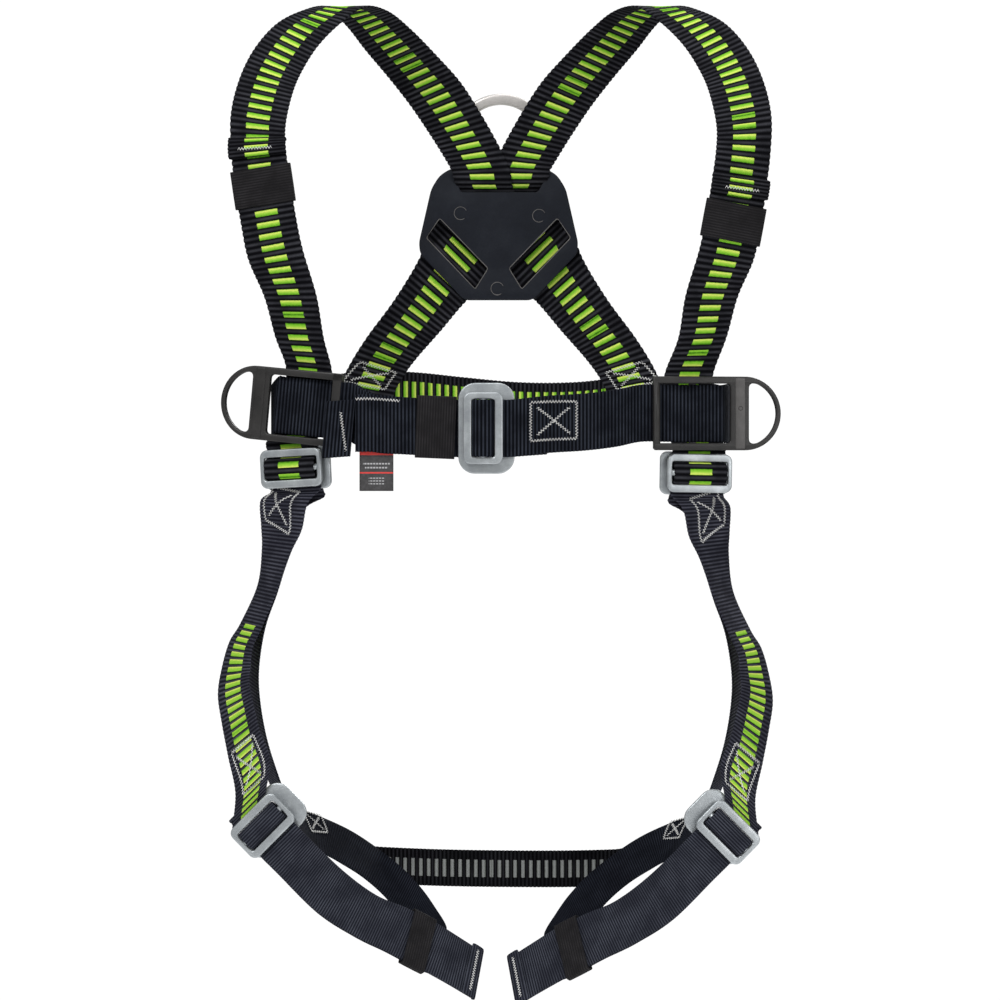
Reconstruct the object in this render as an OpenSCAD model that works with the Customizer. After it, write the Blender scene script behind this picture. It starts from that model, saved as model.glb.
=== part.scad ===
// Full-body fall-arrest and work-positioning harness in its worn shape.
// The wearer faces -Y, up is +Z, and the origin is the middle of the waist loop.

/* [Webbing] */
// Width of the webbing
web_w = 45; // [43:0.5:46]
// Thickness of the webbing
web_t = 1.6; // [1.2:0.1:1.8]
// Width of the reflective strap behind the legs
pelvic_w = 30; // [26:1:36]
// Route steps between two route points, which set how smooth the straps are
steps = 4; // [3:1:6]

/* [Side plates] */
// Height of a side plate
plate_h = 58; // [54:1:62]
// Reach of a side plate from its inner bar to the far side of its D
plate_reach = 100; // [96:1:104]
// Thickness of a side plate
plate_t = 5; // [4:0.5:6]
// Diameter of the inner bar that the belt loops around
side_bar_d = 5.6; // [5:0.2:6]
// Height of the belt window
window_h = 49; // [48:0.5:50]

/* [Buckles] */
// Diameter of the webbing bars in all buckles
bar_d = 5; // [4:0.5:5.5]
// Thickness of the buckle frames
frame_t = 4; // [3:0.5:4.5]
// Corner radius of the buckle frames
frame_r = 6; // [3:1:8]

/* [Dorsal attachment] */
// Outer radius of the dorsal D ring
ring_r = 40; // [38:1:42]
// Thickness of the dorsal D ring stock
ring_t = 8; // [7:0.5:9]
// Thickness of the dorsal plate
dorsal_t = 3; // [2:0.5:3]

/* [Keepers] */
// Length of a shoulder keeper along the strap
keeper_l = 30; // [24:1:34]
// Wall of the elastic keepers
keeper_wall = 1.2; // [1:0.1:1.6]
// Room inside a keeper over the thickness of its two layers
keeper_room = 1.2; // [0.8:0.1:1.6]

/* [Hidden] */

LEFT = -1;
RIGHT = 1;
gap = 0.3;                       // running clearance between moving pieces
layer = web_t + gap;             // pitch of two webbings that lie on each other
turn_r = bar_d / 2 + gap + web_t / 2;    // middle of the webbing where it turns round a bar
plate_turn_r = side_bar_d / 2 + gap + web_t / 2;
$fn = 48;

// ---------------------------------------------------------------- frames
// A frame is [origin, angle from the outward direction up, yaw, side]. Its own axes are
// s along the strap, d back towards the wearer and w along the bar.
// Origins are given for the right side, and the left side is their mirror image.
side_frames = [[[128, -104, 6], 5.5, 22, LEFT], [[122, -102, 4], 0, 12, RIGHT]];
hip_frames = [[[165, -86, -39], 87, 22, LEFT], [[156, -90, -43], 89, 12, RIGHT]];
leg_frames = [[[188, -70, -321], 45, 8, LEFT], [[179, -72, -326], 45, 8, RIGHT]];
belt_frame = [[-14, -124, -8], 0, 0, RIGHT];
stack = 9.2;                     // depth from a front buckle frame to the one behind it

function turned(v, a, yaw) = let (x = v[0] * cos(a) - v[2] * sin(a))
    [x * cos(yaw) - v[1] * sin(yaw), x * sin(yaw) + v[1] * cos(yaw), v[0] * sin(a) + v[2] * cos(a)];
function sided(v, side) = [side * v[0], v[1], v[2]];
function dir(f, v) = sided(turned(v, f[1], f[2]), f[3]);
function at(f, v) = sided(f[0], f[3]) + dir(f, v);
function moved(f, v) = [f[0] + turned(v, f[1], f[2]), f[1], f[2], f[3]];
function opposite(f) = [f[0], f[1] + 180, f[2], f[3]];
function behind(f) = moved(f, [0, stack, 0]);

module in_frame(f) {
    module placed() {
        translate(f[0])
            rotate([0, 0, f[2]])
                rotate([0, -f[1], 0])
                    children();
    }
    if (f[3] == LEFT) mirror([1, 0, 0]) placed() children();
    else placed() children();
}

// ---------------------------------------------------------------- ribbons
// A route is a list of [x, y, z, wx, wy, wz]: a point on the middle of the webbing
// and the vector across it.
function unit(v) = v / norm(v);
function pos(r) = [r[0], r[1], r[2]];
function across(r) = [r[3], r[4], r[5]];
function row(p, w) = concat(p, w);
function mirrored(rows) = [for (r = rows) [-r[0], r[1], r[2], -r[3], r[4], r[5]]];
function shifted(rows, v) = [for (r = rows) row(pos(r) + v, across(r))];
function backwards(rows) = [for (i = [len(rows) - 1:-1:0]) rows[i]];
function part_of(rows, a, b) = [for (i = [a:b]) rows[i]];

function knot(a, b, c, d, t) = 0.5 * (2 * b + (c - a) * t + (2 * a - 5 * b + 4 * c - d) * t * t
                                      + (3 * b - a - 3 * c + d) * t * t * t);
function smooth(rows, n) = let (m = len(rows))
    [for (i = [0:m - 2]) for (j = [0:(i == m - 2 ? n : n - 1)])
        knot(i == 0 ? 2 * rows[0] - rows[1] : rows[i - 1], rows[i], rows[i + 1],
             i == m - 2 ? 2 * rows[m - 1] - rows[m - 2] : rows[i + 2], j / n)];
function tangent(rows, i) = pos(rows[min(i + 1, len(rows) - 1)]) - pos(rows[max(i - 1, 0)]);
function face(rows, i) = unit(cross(tangent(rows, i), across(rows[i])));
function lifted(rows, h) = [for (i = [0:len(rows) - 1]) row(pos(rows[i]) + h * face(rows, i), across(rows[i]))];

module ribbon(route, width = web_w, t = web_t) {
    r = smooth(route, steps);
    m = len(r);
    k = width / 45 / 2;
    points = [for (i = [0:m - 1]) let (n = face(r, i) * t / 2, w = across(r[i]) * k, p = pos(r[i]))
              each [p - w - n, p + w - n, p + w + n, p - w + n]];
    sides = [for (i = [0:m - 2]) for (j = [0:3]) let (a = 4 * i + j, b = 4 * i + (j + 1) % 4)
             each [[a, a + 4, b], [b, a + 4, b + 4]]];
    e = 4 * (m - 1);
    ends = [[0, 1, 2], [0, 2, 3], [e, e + 2, e + 1], [e, e + 3, e + 2]];
    polyhedron(points, concat(sides, ends), convexity = 6);
}

// A webbing that turns round the bar of a buckle: out on the far layer, round the bar,
// and back on the near layer, which lies between the far one and the frame's end bar.
near_layer = frame_t / 2 + gap + web_t / 2;
far_layer = near_layer + layer;
function bar_turn(f, r, w, near, far, reach) = [
    for (p = [[reach, far], [15.5, far], [r + 3, far - 0.2], [1.6, r + 0.3], [-r * 0.5, r * 0.87],
              [-r, 0], [-r * 0.5, -r * 0.87], [r * 0.4, -r * 0.95], [r + 0.9, -0.6],
              [r + 4.2, near], [15.5, near], [reach, near]])
        row(at(f, [p[0], p[1], 0]), dir(f, [0, 0, w]))];
function buckle_turn(f, w, reach = 22) = bar_turn(f, turn_r, w, near_layer, far_layer, reach);

// A webbing that turns round the end bar of a rear frame, with the near layer in front of it
function end_turn(f, inner, w, reach) = let (h = frame_t / 2, e = gap + web_t / 2, c = 0.8 * e)
    [for (p = [[reach + 6, h + e + 0.3], [reach, h + e], [inner + 3, h + e], [inner + 0.6, h + e],
               [inner - c, h + c], [inner - e, h - 1], [inner - e, 1 - h], [inner - c, -h - c],
               [inner + 0.6, -h - e], [inner + 3, -h - e], [reach, -h - e - 0.3]])
        row(at(f, [p[0], p[1], 0]), dir(f, [0, 0, w]))];

// ---------------------------------------------------------------- routes
// Left shoulder, from above the side plate up the chest and over to the dorsal plate
shoulder_front = [
    [-158, -88, 64, 38, -18, -2], [-165, -93, 96, 41, -17, 0], [-176.5, -96, 128, 43, -12, 7],
    [-182, -96, 154, 43, -12, 7], [-186.5, -96, 182, 43.2, -11.5, 6], [-190, -95, 208, 43.3, -11, 4],
    [-191, -86, 234, 44, -8, -7], [-186, -68, 261, 43, -6, -11], [-177, -48, 284, 39, -12, -18],
    [-162, -30, 306, 35, -20, -18], [-143, -11, 322, 33, -28, -11], [-125, 10, 331, 33, -30, -2],
    [-108, 34, 324, 35, -27, 9], [-91, 56, 308, 38, -19, 15], [-71, 75, 287, 40, -11, 17],
    [-53, 87, 266, 42, -5, 18], [-37, 94, 242, 44, 0, 14], [-24, 96, 220, 46, 0, 8]];
// Sideways place of a strap where it goes through the plate and crosses behind it
slot_x = [-17, -14, -12, -9, -6, -3, -1, 1, 6, 18, 32];
// Depth and height of the strap that lies nearest the ring bar, at the same places
slot_inner = [[96.5, 206], [96.8, 200], [98.6, 195.2], [102.2, 191.2], [105.6, 186.8], [109.6, 181],
              [113.3, 178.2], [115.1, 173.5], [115, 164.5], [113.2, 152.5], [109.5, 139]];
// The same for the strap that lies over it
slot_outer = [[98.4, 206.5], [98.8, 200.8], [100.2, 196.6], [103.4, 192.9], [107.2, 187.8], [111, 182.4],
              [114.6, 179.8], [117, 174], [117.6, 164.5], [116.6, 152.5], [113, 139]];
// Vector across the strap at the same places
slot_across = [[47, 0, 3], [48, 0, 0], [47, 0, 0], [46, 0, 0], [46, 0, 0], [47, 0, 0],
               [48, 0, 0], [48, 0, 0], [46, 0, 7], [46, 0, 32], [50, 0, 49]];
// From the dorsal plate down to the waist strap on the far side
lower_back = [
    [46.5, 107, 117.5, 39, 0, 36], [68, 104, 87, 37, -6, 27], [90, 99, 59, 40, -10, 18],
    [104, 94, 37, 43, -13, 10], [112, 89, 17, 43, -16, 6], [115, 87, 0, 42, -16, 4]];
// Waist strap round the back, from its left end to its right end
back_waist = [
    [-181, 20, 6, 0, 0, 45], [-170, 52, 9, 0, 0, 45], [-147, 78, 13, 0, 0, 45], [-112, 97, 15, 0, 0, 45],
    [-70, 107, 13, 0, 0, 45], [-30, 111, 9, 0, 0, 45], [15, 112, 7, 0, 0, 45], [60, 109, 10, 0, 0, 45],
    [105, 99, 14, 0, 0, 45], [143, 80, 12, 0, 0, 45], [168, 52, 8, 0, 0, 45], [180, 20, 4, 0, 0, 45]];
// Side of the waist, from the side plate back to the waist strap, on the right
hip_side = [[179.5, -48, 5, 0, 0, 45], [181, -26, 5, 0, 0, 45], [182.5, -4, 5, 0, 0, 45]];
// Its inner end on the left, sewn behind the front belt
hip_start = [[-86, -106.6, -5, 0, 0, 45], [-103, -106.4, -4, 0, 0, 45]];
// Place across and in depth where the strap has turned back beside each plate
hip_turn = [[180.6, -68], [178.2, -73]];
// Front belt from the belt buckle to the right side plate
belt_front_right = [[36, -120.7, -5, 0, 0, 45], [66, -116.5, -3, 0, 0, 45], [90, -110, 0, 0, 0, 45]];
// Front belt from the left side plate to the belt buckle
belt_front_left = [[-100, -110.4, -4, 0, 0, 45], [-75, -110, -6, 0, 0, 45], [-51, -110, -7, 0, 0, 45]];
// Left leg, front run, from the hip buckle to the leg buckle
leg_front = [
    [-171, -78, -66, 38, -23, -2], [-173, -77, -86, 33, -30, -3], [-177, -77, -104, 24, -38, -3],
    [-184, -76, -133, 17, -41, -3], [-197, -74, -163, 18, -41, -3], [-205, -72, -178, 20, -40, -3],
    [-209, -70, -196, 24, -38, 2], [-211, -70, -213, 26, -34, 10], [-208, -69, -232, 26, -32, 17],
    [-203, -67, -256, 26, -28, 22], [-196, -67, -282, 30, -14, 29]];
// Left leg, rear run, from the hip buckle down the outside of the leg
leg_rear = [
    [-170.5, -68.5, -70, 32, -31, -2], [-175.5, -69.5, -92, 26, -36, -3], [-179, -71, -112, 21, -39, -3],
    [-184, -68, -136, 16, -42, -3], [-192, -60, -162, 13, -43, -4], [-197, -46, -192, 12, -43, -6],
    [-197, -34, -218, 12, -43, -6], [-192, -22, -250, 12, -43, -6], [-184, -9, -280, 14, -42, -8],
    [-177, 1.5, -300, 15, -41, -11]];
// Left thigh strap, from the seam behind the leg round the inner thigh to its front
thigh_loop = [
    [-170, 12, -318, 14, -36, -21], [-150, 34, -331, 2, -36, -26], [-128.5, 49, -342.5, -9, -37, -23],
    [-106, 58, -357.5, -10, -38, -22], [-86, 58.5, -374.5, -12, -37, -22.5], [-70, 49, -393, -13, -34, -26],
    [-58, 30, -410, -12, -30, -31], [-51, 8, -420, -11, -27, -34], [-50, -10, -424, -12, -26, -34],
    [-57, -20, -421, -14, -26, -34], [-67, -25, -415.5, -14, -26, -34], [-84, -33, -406, -15, -25, -33],
    [-108.5, -43, -394, -15.5, -26, -31], [-136.5, -53, -373.5, -20, -17, -31.5]];
thigh_front_start = 9;           // the first point that the tail lies on
thigh_tail_end = [[-38, -14, -431.5, -10, -26, -35], [-20, -8, -443, -7, -26, -36]];
leg_bar_w = 38;                  // width of the bunched webbing in the leg buckles
leg_inner_edge = 12;             // half the opening of the leg buckle's outer plate
hip_inner_edge = 10;             // half the opening of the hip adjuster's rear frame
leg_shift = [-9, -2, -5];        // from the left legs' mirror image to the right leg
// Reflective strap behind the legs
pelvic = [
    [-112, 79, -359, 0, 0, 45], [-94, 81, -361, 0, 0, 45], [-50, 84, -363, 0, 0, 45],
    [0, 86, -364, 0, 0, 45], [50, 84, -364, 0, 0, 45], [88, 81, -363, 0, 0, 45], [106, 79, -362, 0, 0, 45]];

// Depths behind the front of a side plate, in its own frame
main_depth = [8.7, 10];          // run of the shoulder strap, left and right
belt_depth = [3.8, 3.9];         // plain strap behind the window
tail_top = [0.35, 0.2];          // how far between two points each shoulder tail ends
tail_rows = [8, 7];              // last whole point of each shoulder tail
strap_u = [[31, 31, 31], [31, 29, 28]];  // place of each shoulder strap along its side plate
strap_v = [-16, 8, 30];         // heights of those places
crossing = [0.6, 1.3, 2];        // the right strap lies this much deeper where the two cross

function index(side) = side == LEFT ? 0 : 1;
function for_side(rows, side) = side == LEFT ? rows : mirrored(rows);
// The last points of a route, moved back towards the plate
function deeper(rows, depths) = let (first = len(rows) - len(depths))
    [for (i = [0:len(rows) - 1]) i < first ? rows[i] : rows[i] + [0, depths[i - first], 0, 0, 0, 0]];
function slot_rows(path) = [for (i = [0:len(slot_x) - 1]) row([slot_x[i], path[i][0], path[i][1]], slot_across[i])];
function shoulder_main(side) = let (f = side_frames[index(side)], d = main_depth[index(side)])
    concat([for (i = [0:2]) row(at(f, [strap_u[index(side)][i], d, strap_v[i]]), dir(f, [-39, 0, 0]))],
           for_side(side == LEFT ? shoulder_front : deeper(shoulder_front, crossing), side));
function shoulder_tail(side) = let (rows = shoulder_main(side), n = tail_rows[index(side)], t = tail_top[index(side)])
    lifted(concat(part_of(rows, 0, n), [rows[n] * (1 - t) + rows[n + 1] * t]), side * layer);
function shoulder_route(side) = let (path = side == LEFT ? slot_inner : slot_outer)
    concat(backwards(shoulder_tail(side)), backwards(buckle_turn(hip_frames[index(side)], 43)),
           shoulder_main(side), for_side(concat(slot_rows(path), lower_back), side));

// A leg strap ends on the outer face of the thigh strap's start
function leg_lap() = lifted(part_of(thigh_loop, 0, 1), layer);
function leg_route(side) = let (i = index(side), v = side == LEFT ? [0, 0, 0] : leg_shift)
    concat(end_turn(behind(leg_frames[i]), leg_inner_edge, leg_bar_w, 21),
           shifted(for_side(backwards(leg_front), side), v),
           backwards(end_turn(opposite(behind(hip_frames[i])), hip_inner_edge, -43, 18)),
           shifted(for_side(concat(leg_rear, leg_lap()), side), v));
function thigh_front() = part_of(thigh_loop, thigh_front_start, len(thigh_loop) - 1);
function thigh_route(side) = let (i = index(side), v = side == LEFT ? [0, 0, 0] : leg_shift)
    concat(shifted(for_side(thigh_loop, side), v), buckle_turn(opposite(leg_frames[i]), leg_bar_w, 26),
           shifted(for_side(concat(backwards(lifted(thigh_front(), layer)), thigh_tail_end), side), v));

function plate_row(f, u, d) = row(at(f, [u, d, 0]), dir(f, [0, 0, 45]));
function waist_lap(side) = let (rows = side == LEFT ? back_waist : backwards(back_waist))
    lifted(part_of(smooth(rows, 3), 0, 4), side * layer);
function hip_end(side) = concat([row([side * hip_turn[index(side)][0], hip_turn[index(side)][1], 5], [0, 0, 45])],
                                side == RIGHT ? hip_side : mirrored(hip_side), waist_lap(side));
function hip_left_route() = let (f = side_frames[0])
    concat(hip_start, [for (p = [[-8, 5.4], [0, 6], [8, 4.2], [14, 3.6], [48, 3.6], [54, 4.1]])
            plate_row(f, p[0], p[1])], hip_end(LEFT));
function belt_right_route() = let (f = side_frames[1])
    concat([row(at(belt_frame, [50, far_layer, 2]), [0, 0, 45])], buckle_turn(belt_frame, 45), belt_front_right,
           [for (p = [[-12, 3.9], [10, 3.9], [35, 3.9], [50, 3.9], [54, 4.6]]) plate_row(f, p[0], p[1])],
           hip_end(RIGHT));
function belt_loop() = let (f = side_frames[0], r = plate_turn_r)
    concat([[-98, -108.5, -4, 0, 0, 45]],
           [for (p = [[-12, 1.5], [-4, 3.1], [0, r], [r * 0.7, r * 0.7], [r, 0], [r * 0.7, -r * 0.7],
                      [0, -r], [-4, -3.1], [-11, -1]]) plate_row(f, p[0], p[1])]);
function belt_left_route() = concat(belt_loop(), belt_front_left,
    buckle_turn(opposite(behind(belt_frame)), -45),
    backwards(lifted(belt_front_left, layer)),
    [row([-114, -112.6, -4], [0, 0, 45])]);

// ---------------------------------------------------------------- colours
module web_colour() color([0.09, 0.09, 0.11]) children();
module plain_colour() color([0.07, 0.08, 0.11]) children();
module elastic_colour() color([0.14, 0.12, 0.13]) children();
module zinc_colour() color([0.58, 0.61, 0.64]) children();
module plate_colour() color([0.22, 0.21, 0.20]) children();

// ---------------------------------------------------------------- webbing
module shoulder_strap_left() web_colour() ribbon(shoulder_route(LEFT));
module shoulder_strap_right() web_colour() ribbon(shoulder_route(RIGHT));
module back_waist_strap() web_colour() ribbon(back_waist);
module hip_strap_left() plain_colour() ribbon(hip_left_route());
module belt_left() plain_colour() ribbon(belt_left_route());
module belt_right() plain_colour() ribbon(belt_right_route());
module leg_strap_left() web_colour() ribbon(leg_route(LEFT));
module leg_strap_right() web_colour() ribbon(leg_route(RIGHT));
module thigh_strap_left() plain_colour() ribbon(thigh_route(LEFT));
module thigh_strap_right() plain_colour() ribbon(thigh_route(RIGHT));
module sub_pelvic_strap() web_colour() ribbon(pelvic, pelvic_w);

// Sewn label behind the left belt
module label_tag() color([0.12, 0.12, 0.13]) translate([-111, -108.6, -57]) cube([27, 0.8, 36]);

// ---------------------------------------------------------------- keepers
// Elastic sleeves. Local x runs along the strap, y faces out of the front layer, z across.
function keeper_place(rows, i) = let (t = unit(tangent(rows, i)), n = face(rows, i), w = cross(t, -n))
    [[t[0], -n[0], w[0], rows[i][0]], [t[1], -n[1], w[1], rows[i][1]], [t[2], -n[2], w[2], rows[i][2]], [0, 0, 0, 1]];
module keeper(place, length, tail_side) {
    depth = 2 * web_t + gap + keeper_room;
    elastic_colour()
        multmatrix(place)
            translate([0, tail_side * layer / 2, 0])
                difference() {
                    cube([length, depth + 2 * keeper_wall, web_w + 4], center = true);
                    cube([length + 2, depth, web_w + 1.6], center = true);
                }
}
shoulder_keeper_rows = [7, 6];   // route points that the shoulder keepers sit on
function shoulder_keeper_place(side) =
    keeper_place(shoulder_main(side), shoulder_keeper_rows[index(side)]);
function thigh_keeper_place(side) =
    keeper_place(shifted(for_side(thigh_loop, side), side == LEFT ? [0, 0, 0] : leg_shift), 10);
belt_keeper_place = keeper_place(belt_front_left, 2);
module shoulder_keeper_left() keeper(shoulder_keeper_place(LEFT), keeper_l, 1);
module shoulder_keeper_right() keeper(shoulder_keeper_place(RIGHT), keeper_l, -1);
module belt_keeper() keeper(belt_keeper_place, 31, -1);
module thigh_keeper_left() keeper(thigh_keeper_place(LEFT), 22, -1);
module thigh_keeper_right() keeper(thigh_keeper_place(RIGHT), 22, 1);

// ---------------------------------------------------------------- dorsal attachment
dorsal_y = 100;                  // wearer's side of the dorsal plate
ring_axis = [0, 110, 174];       // middle of the ring's straight bar
ring_top = 268;                  // height of the top of the ring
ring_w = 9;                      // width of the ring stock
dorsal_x = -2;                   // the plate sits a little to the wearer's right
plate_half = [[28, 99], [64, 137], [65, 146], [55, 190], [48, 201], [38, 207]];
slant_slot = [[48, 166], [8.5, 125], [17, 105.5], [59, 150]];
top_slot = [[-34, 187.2], [34, 187.2], [40, 201.2], [-40, 201.2]];
function flip(points) = [for (i = [len(points) - 1:-1:0]) [-points[i][0], points[i][1]]];

module dorsal_plate() {
    color([0.13, 0.15, 0.18])
        translate([dorsal_x, dorsal_y + dorsal_t, 0])
            rotate([90, 0, 0])
                linear_extrude(dorsal_t)
                    difference() {
                        polygon(concat(plate_half, flip(plate_half)));
                        polygon(slant_slot);
                        polygon(flip(slant_slot));
                        translate([-dorsal_x, 0]) polygon(top_slot);
                    }
}

module dorsal_d_ring() {
    mid_r = ring_r - ring_w / 2;
    centre_h = ring_top - ring_r - ring_axis[2];
    color([0.70, 0.68, 0.66])
        translate(ring_axis) {
            rotate([0, 90, 0]) cylinder(d = ring_t, h = 2 * mid_r, center = true);
            translate([0, 0, centre_h])
                rotate([90, 0, 0])
                    rotate_extrude(angle = 180)
                        translate([mid_r, 0]) square([ring_w, ring_t], center = true);
            for (s = [-1, 1])
                translate([s * mid_r, 0, 0]) {
                    translate([0, 0, centre_h / 2]) cube([ring_w, ring_t, centre_h], center = true);
                    rotate([0, 90, 0]) cylinder(d = ring_t, h = ring_w, center = true);
                }
        }
}

// ---------------------------------------------------------------- side plates
window_l = 56.4;                 // length of the belt window, from the inner bar's edge
d_wall = 3.7;                    // wall of the D
d_start = 74.2;                  // straight side of the D's opening
bridge_d = [5.2, 6.7];           // depth of the right plate's rear bridge

module rounded(a, b, r) {
    square([a - 2 * r, b], center = true);
    square([a, b - 2 * r], center = true);
    for (x = [-1, 1]) for (y = [-1, 1]) translate([x * (a / 2 - r), y * (b / 2 - r)]) circle(r);
}
module upright(t) rotate([90, 0, 0]) linear_extrude(t, center = true) children();

module side_plate(f, bridged) {
    d_centre = plate_reach - plate_h / 2;
    bar_r = side_bar_d / 2;
    plate_colour()
        in_frame(f) {
            upright(plate_t)
                difference() {
                    union() {
                        translate([-bar_r, -plate_h / 2]) square([d_centre + bar_r, plate_h]);
                        translate([d_centre, 0]) circle(plate_h / 2);
                    }
                    translate([bar_r + window_l / 2, 0]) rounded(window_l, window_h, 5);
                    translate([-bar_r - 1, -window_h / 2]) square([2 * bar_r + 6, window_h]);
                    intersection() {
                        translate([d_centre, 0]) circle(plate_h / 2 - d_wall);
                        translate([d_start, -plate_h / 2]) square([plate_h, plate_h]);
                    }
                }
            cylinder(d = side_bar_d, h = window_h + 2, center = true);
            for (v = [-1, 1])
                translate([67 + v * 3, -plate_t / 2, 0]) cylinder(r = 0.8, h = plate_h - 4, center = true);
            if (bridged) rear_bridge();
        }
}
// A bar behind the belt, which holds the plate on it and lets it slide
module rear_bridge() {
    outer = plate_h / 2 - 0.6;
    inner = 24;
    translate([27, 0, 0])
        rotate([90, 0, 90])
            linear_extrude(6)
                polygon([[1, -outer], [bridge_d[1], -outer], [bridge_d[1], outer], [1, outer],
                         [1, inner], [bridge_d[0], inner], [bridge_d[0], -inner], [1, -inner]]);
}
module side_plate_left() side_plate(side_frames[0], false);
module side_plate_right() side_plate(side_frames[1], true);

// ---------------------------------------------------------------- buckles
// A frame with a bar across its opening. Its size is along the strap and across it.
opening_r = 1.2;                 // corner radius of a buckle's opening
module buckle_frame(f, size, opening, offset = [0, 0], r = frame_r, bar = true) {
    zinc_colour()
        in_frame(f) {
            upright(frame_t)
                difference() {
                    translate(offset) rounded(size[0], size[1], r);
                    rounded(opening[0], opening[1], opening_r);
                }
            if (bar) cylinder(d = bar_d, h = opening[1] + 1, center = true);
        }
}
module belt_buckle_inner() buckle_frame(belt_frame, [31, 56], [18, 46.6]);
module belt_buckle_outer() buckle_frame(behind(belt_frame), [44, 71], [18, 46.6], [2.6, 0], 13);
module hip_front(i) buckle_frame(hip_frames[i], [30.5, 52], [18, 44.6]);
module hip_rear(i) buckle_frame(behind(hip_frames[i]), [34, 55], [2 * hip_inner_edge, 44.6], [0, 2.4], bar = false);
module hip_adjuster_left_front() hip_front(0);
module hip_adjuster_left_rear() hip_rear(0);
module hip_adjuster_right_front() hip_front(1);
module hip_adjuster_right_rear() hip_rear(1);
module leg_inner(i) buckle_frame(leg_frames[i], [31, 48], [18, leg_bar_w + 1.6]);
module leg_outer(i) buckle_frame(behind(leg_frames[i]), [40, 58], [2 * leg_inner_edge, leg_bar_w + 1.6], [0, 5.5], 12, false);
module leg_buckle_left_inner() leg_inner(0);
module leg_buckle_left_outer() leg_outer(0);
module leg_buckle_right_inner() leg_inner(1);
module leg_buckle_right_outer() leg_outer(1);

shoulder_strap_left();
shoulder_strap_right();
back_waist_strap();
hip_strap_left();
belt_left();
belt_right();
leg_strap_left();
leg_strap_right();
thigh_strap_left();
thigh_strap_right();
sub_pelvic_strap();
label_tag();
shoulder_keeper_left();
shoulder_keeper_right();
belt_keeper();
thigh_keeper_left();
thigh_keeper_right();
dorsal_plate();
dorsal_d_ring();
side_plate_left();
side_plate_right();
belt_buckle_inner();
belt_buckle_outer();
hip_adjuster_left_front();
hip_adjuster_left_rear();
hip_adjuster_right_front();
hip_adjuster_right_rear();
leg_buckle_left_inner();
leg_buckle_left_outer();
leg_buckle_right_inner();
leg_buckle_right_outer();
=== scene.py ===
"""Looks of a full-body work harness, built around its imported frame.

Sizes, frames and routes are in millimetres, and MM turns them into metres where a mesh is made.
They are the design's own, apart from a few places that were moved by up to 7 mm to follow the real
thing more closely. The wearer faces -Y, up is +Z and the origin is the middle of the waist loop.
"""
from math import cos, pi, radians, sin

import bmesh
import bpy
import numpy as np
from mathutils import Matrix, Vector


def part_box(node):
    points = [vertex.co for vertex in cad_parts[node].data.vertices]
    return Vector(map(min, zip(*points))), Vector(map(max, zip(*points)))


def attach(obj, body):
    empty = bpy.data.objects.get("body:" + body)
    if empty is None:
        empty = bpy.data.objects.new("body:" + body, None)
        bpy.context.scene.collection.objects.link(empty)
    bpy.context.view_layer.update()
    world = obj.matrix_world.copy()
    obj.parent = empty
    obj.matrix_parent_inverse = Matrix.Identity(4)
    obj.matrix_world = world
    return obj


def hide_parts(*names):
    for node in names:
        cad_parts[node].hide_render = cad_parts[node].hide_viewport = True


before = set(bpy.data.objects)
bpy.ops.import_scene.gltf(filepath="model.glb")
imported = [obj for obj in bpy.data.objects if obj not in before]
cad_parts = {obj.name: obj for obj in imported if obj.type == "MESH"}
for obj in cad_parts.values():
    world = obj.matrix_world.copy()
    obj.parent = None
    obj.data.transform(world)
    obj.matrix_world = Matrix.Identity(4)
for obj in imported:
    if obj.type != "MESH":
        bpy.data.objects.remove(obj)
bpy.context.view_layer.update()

MM = 0.001
LEFT, RIGHT = -1, 1
SIDES = {LEFT: "left", RIGHT: "right"}
ROOT = "harness"                     # the body that everything without a joint rides on

# ---------------------------------------------------------------- sizes
WEB_W = 45
WEB_T = 1.6
PELVIC_W = 30
GAP = 0.3
LAYER = WEB_T + GAP                  # from one layer of webbing to the next
BAR_D = 5
FRAME_T = 4
FRAME_R = 6
SIDE_BAR_D = 5.6
PLATE_TURN_R = SIDE_BAR_D / 2 + GAP + WEB_T / 2
PLATE_H = 58
PLATE_REACH = 100                    # from a side plate's inner bar to the end of its D
PLATE_T = 5
WINDOW_L = 56.4
D_WALL = 3.7
D_START = 74.2                       # where the D's opening starts, from that bar
STACK = 9.2                          # from a front frame to the one behind it
LEG_BAR_W = 38
LEG_INNER_EDGE = 12                  # half the height of a rear frame's opening
HIP_INNER_EDGE = 10
KEEPER_L = 30
BELT_KEEPER_L = 31
THIGH_KEEPER_L = 22
KEEPER_ROOM = 1.2
RING_R = 40
RING_T = 8
RING_W = 9
RING_AXIS = (0, 110, 174)
RING_TOP = 268
DORSAL_Y = 100
DORSAL_T = 3
DORSAL_X = -2

# A frame is [origin, angle from the outward direction up, yaw, side]
SIDE_FRAMES = [[[128, -104, 6], 5.5, 22, LEFT], [[122, -102, 4], 0, 12, RIGHT]]
HIP_FRAMES = [[[165, -86, -39], 87, 22, LEFT], [[156, -90, -43], 89, 12, RIGHT]]
LEG_FRAMES = [[[188, -70, -321], 45, 8, LEFT], [[179, -72, -326], 45, 8, RIGHT]]
BELT_FRAME = [[-14, -124, -8], 0, 0, RIGHT]


def turned(v, angle, yaw):
    a, y = radians(angle), radians(yaw)
    x = v[0] * cos(a) - v[2] * sin(a)
    return np.array([x * cos(y) - v[1] * sin(y), x * sin(y) + v[1] * cos(y), v[0] * sin(a) + v[2] * cos(a)])


def sided(v, side):
    return np.array([side * v[0], v[1], v[2]], float)


def direction(f, v):
    return sided(turned(v, f[1], f[2]), f[3])


def at(f, v):
    return sided(f[0], f[3]) + direction(f, v)


def opposite(f):
    return [f[0], f[1] + 180, f[2], f[3]]


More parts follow.
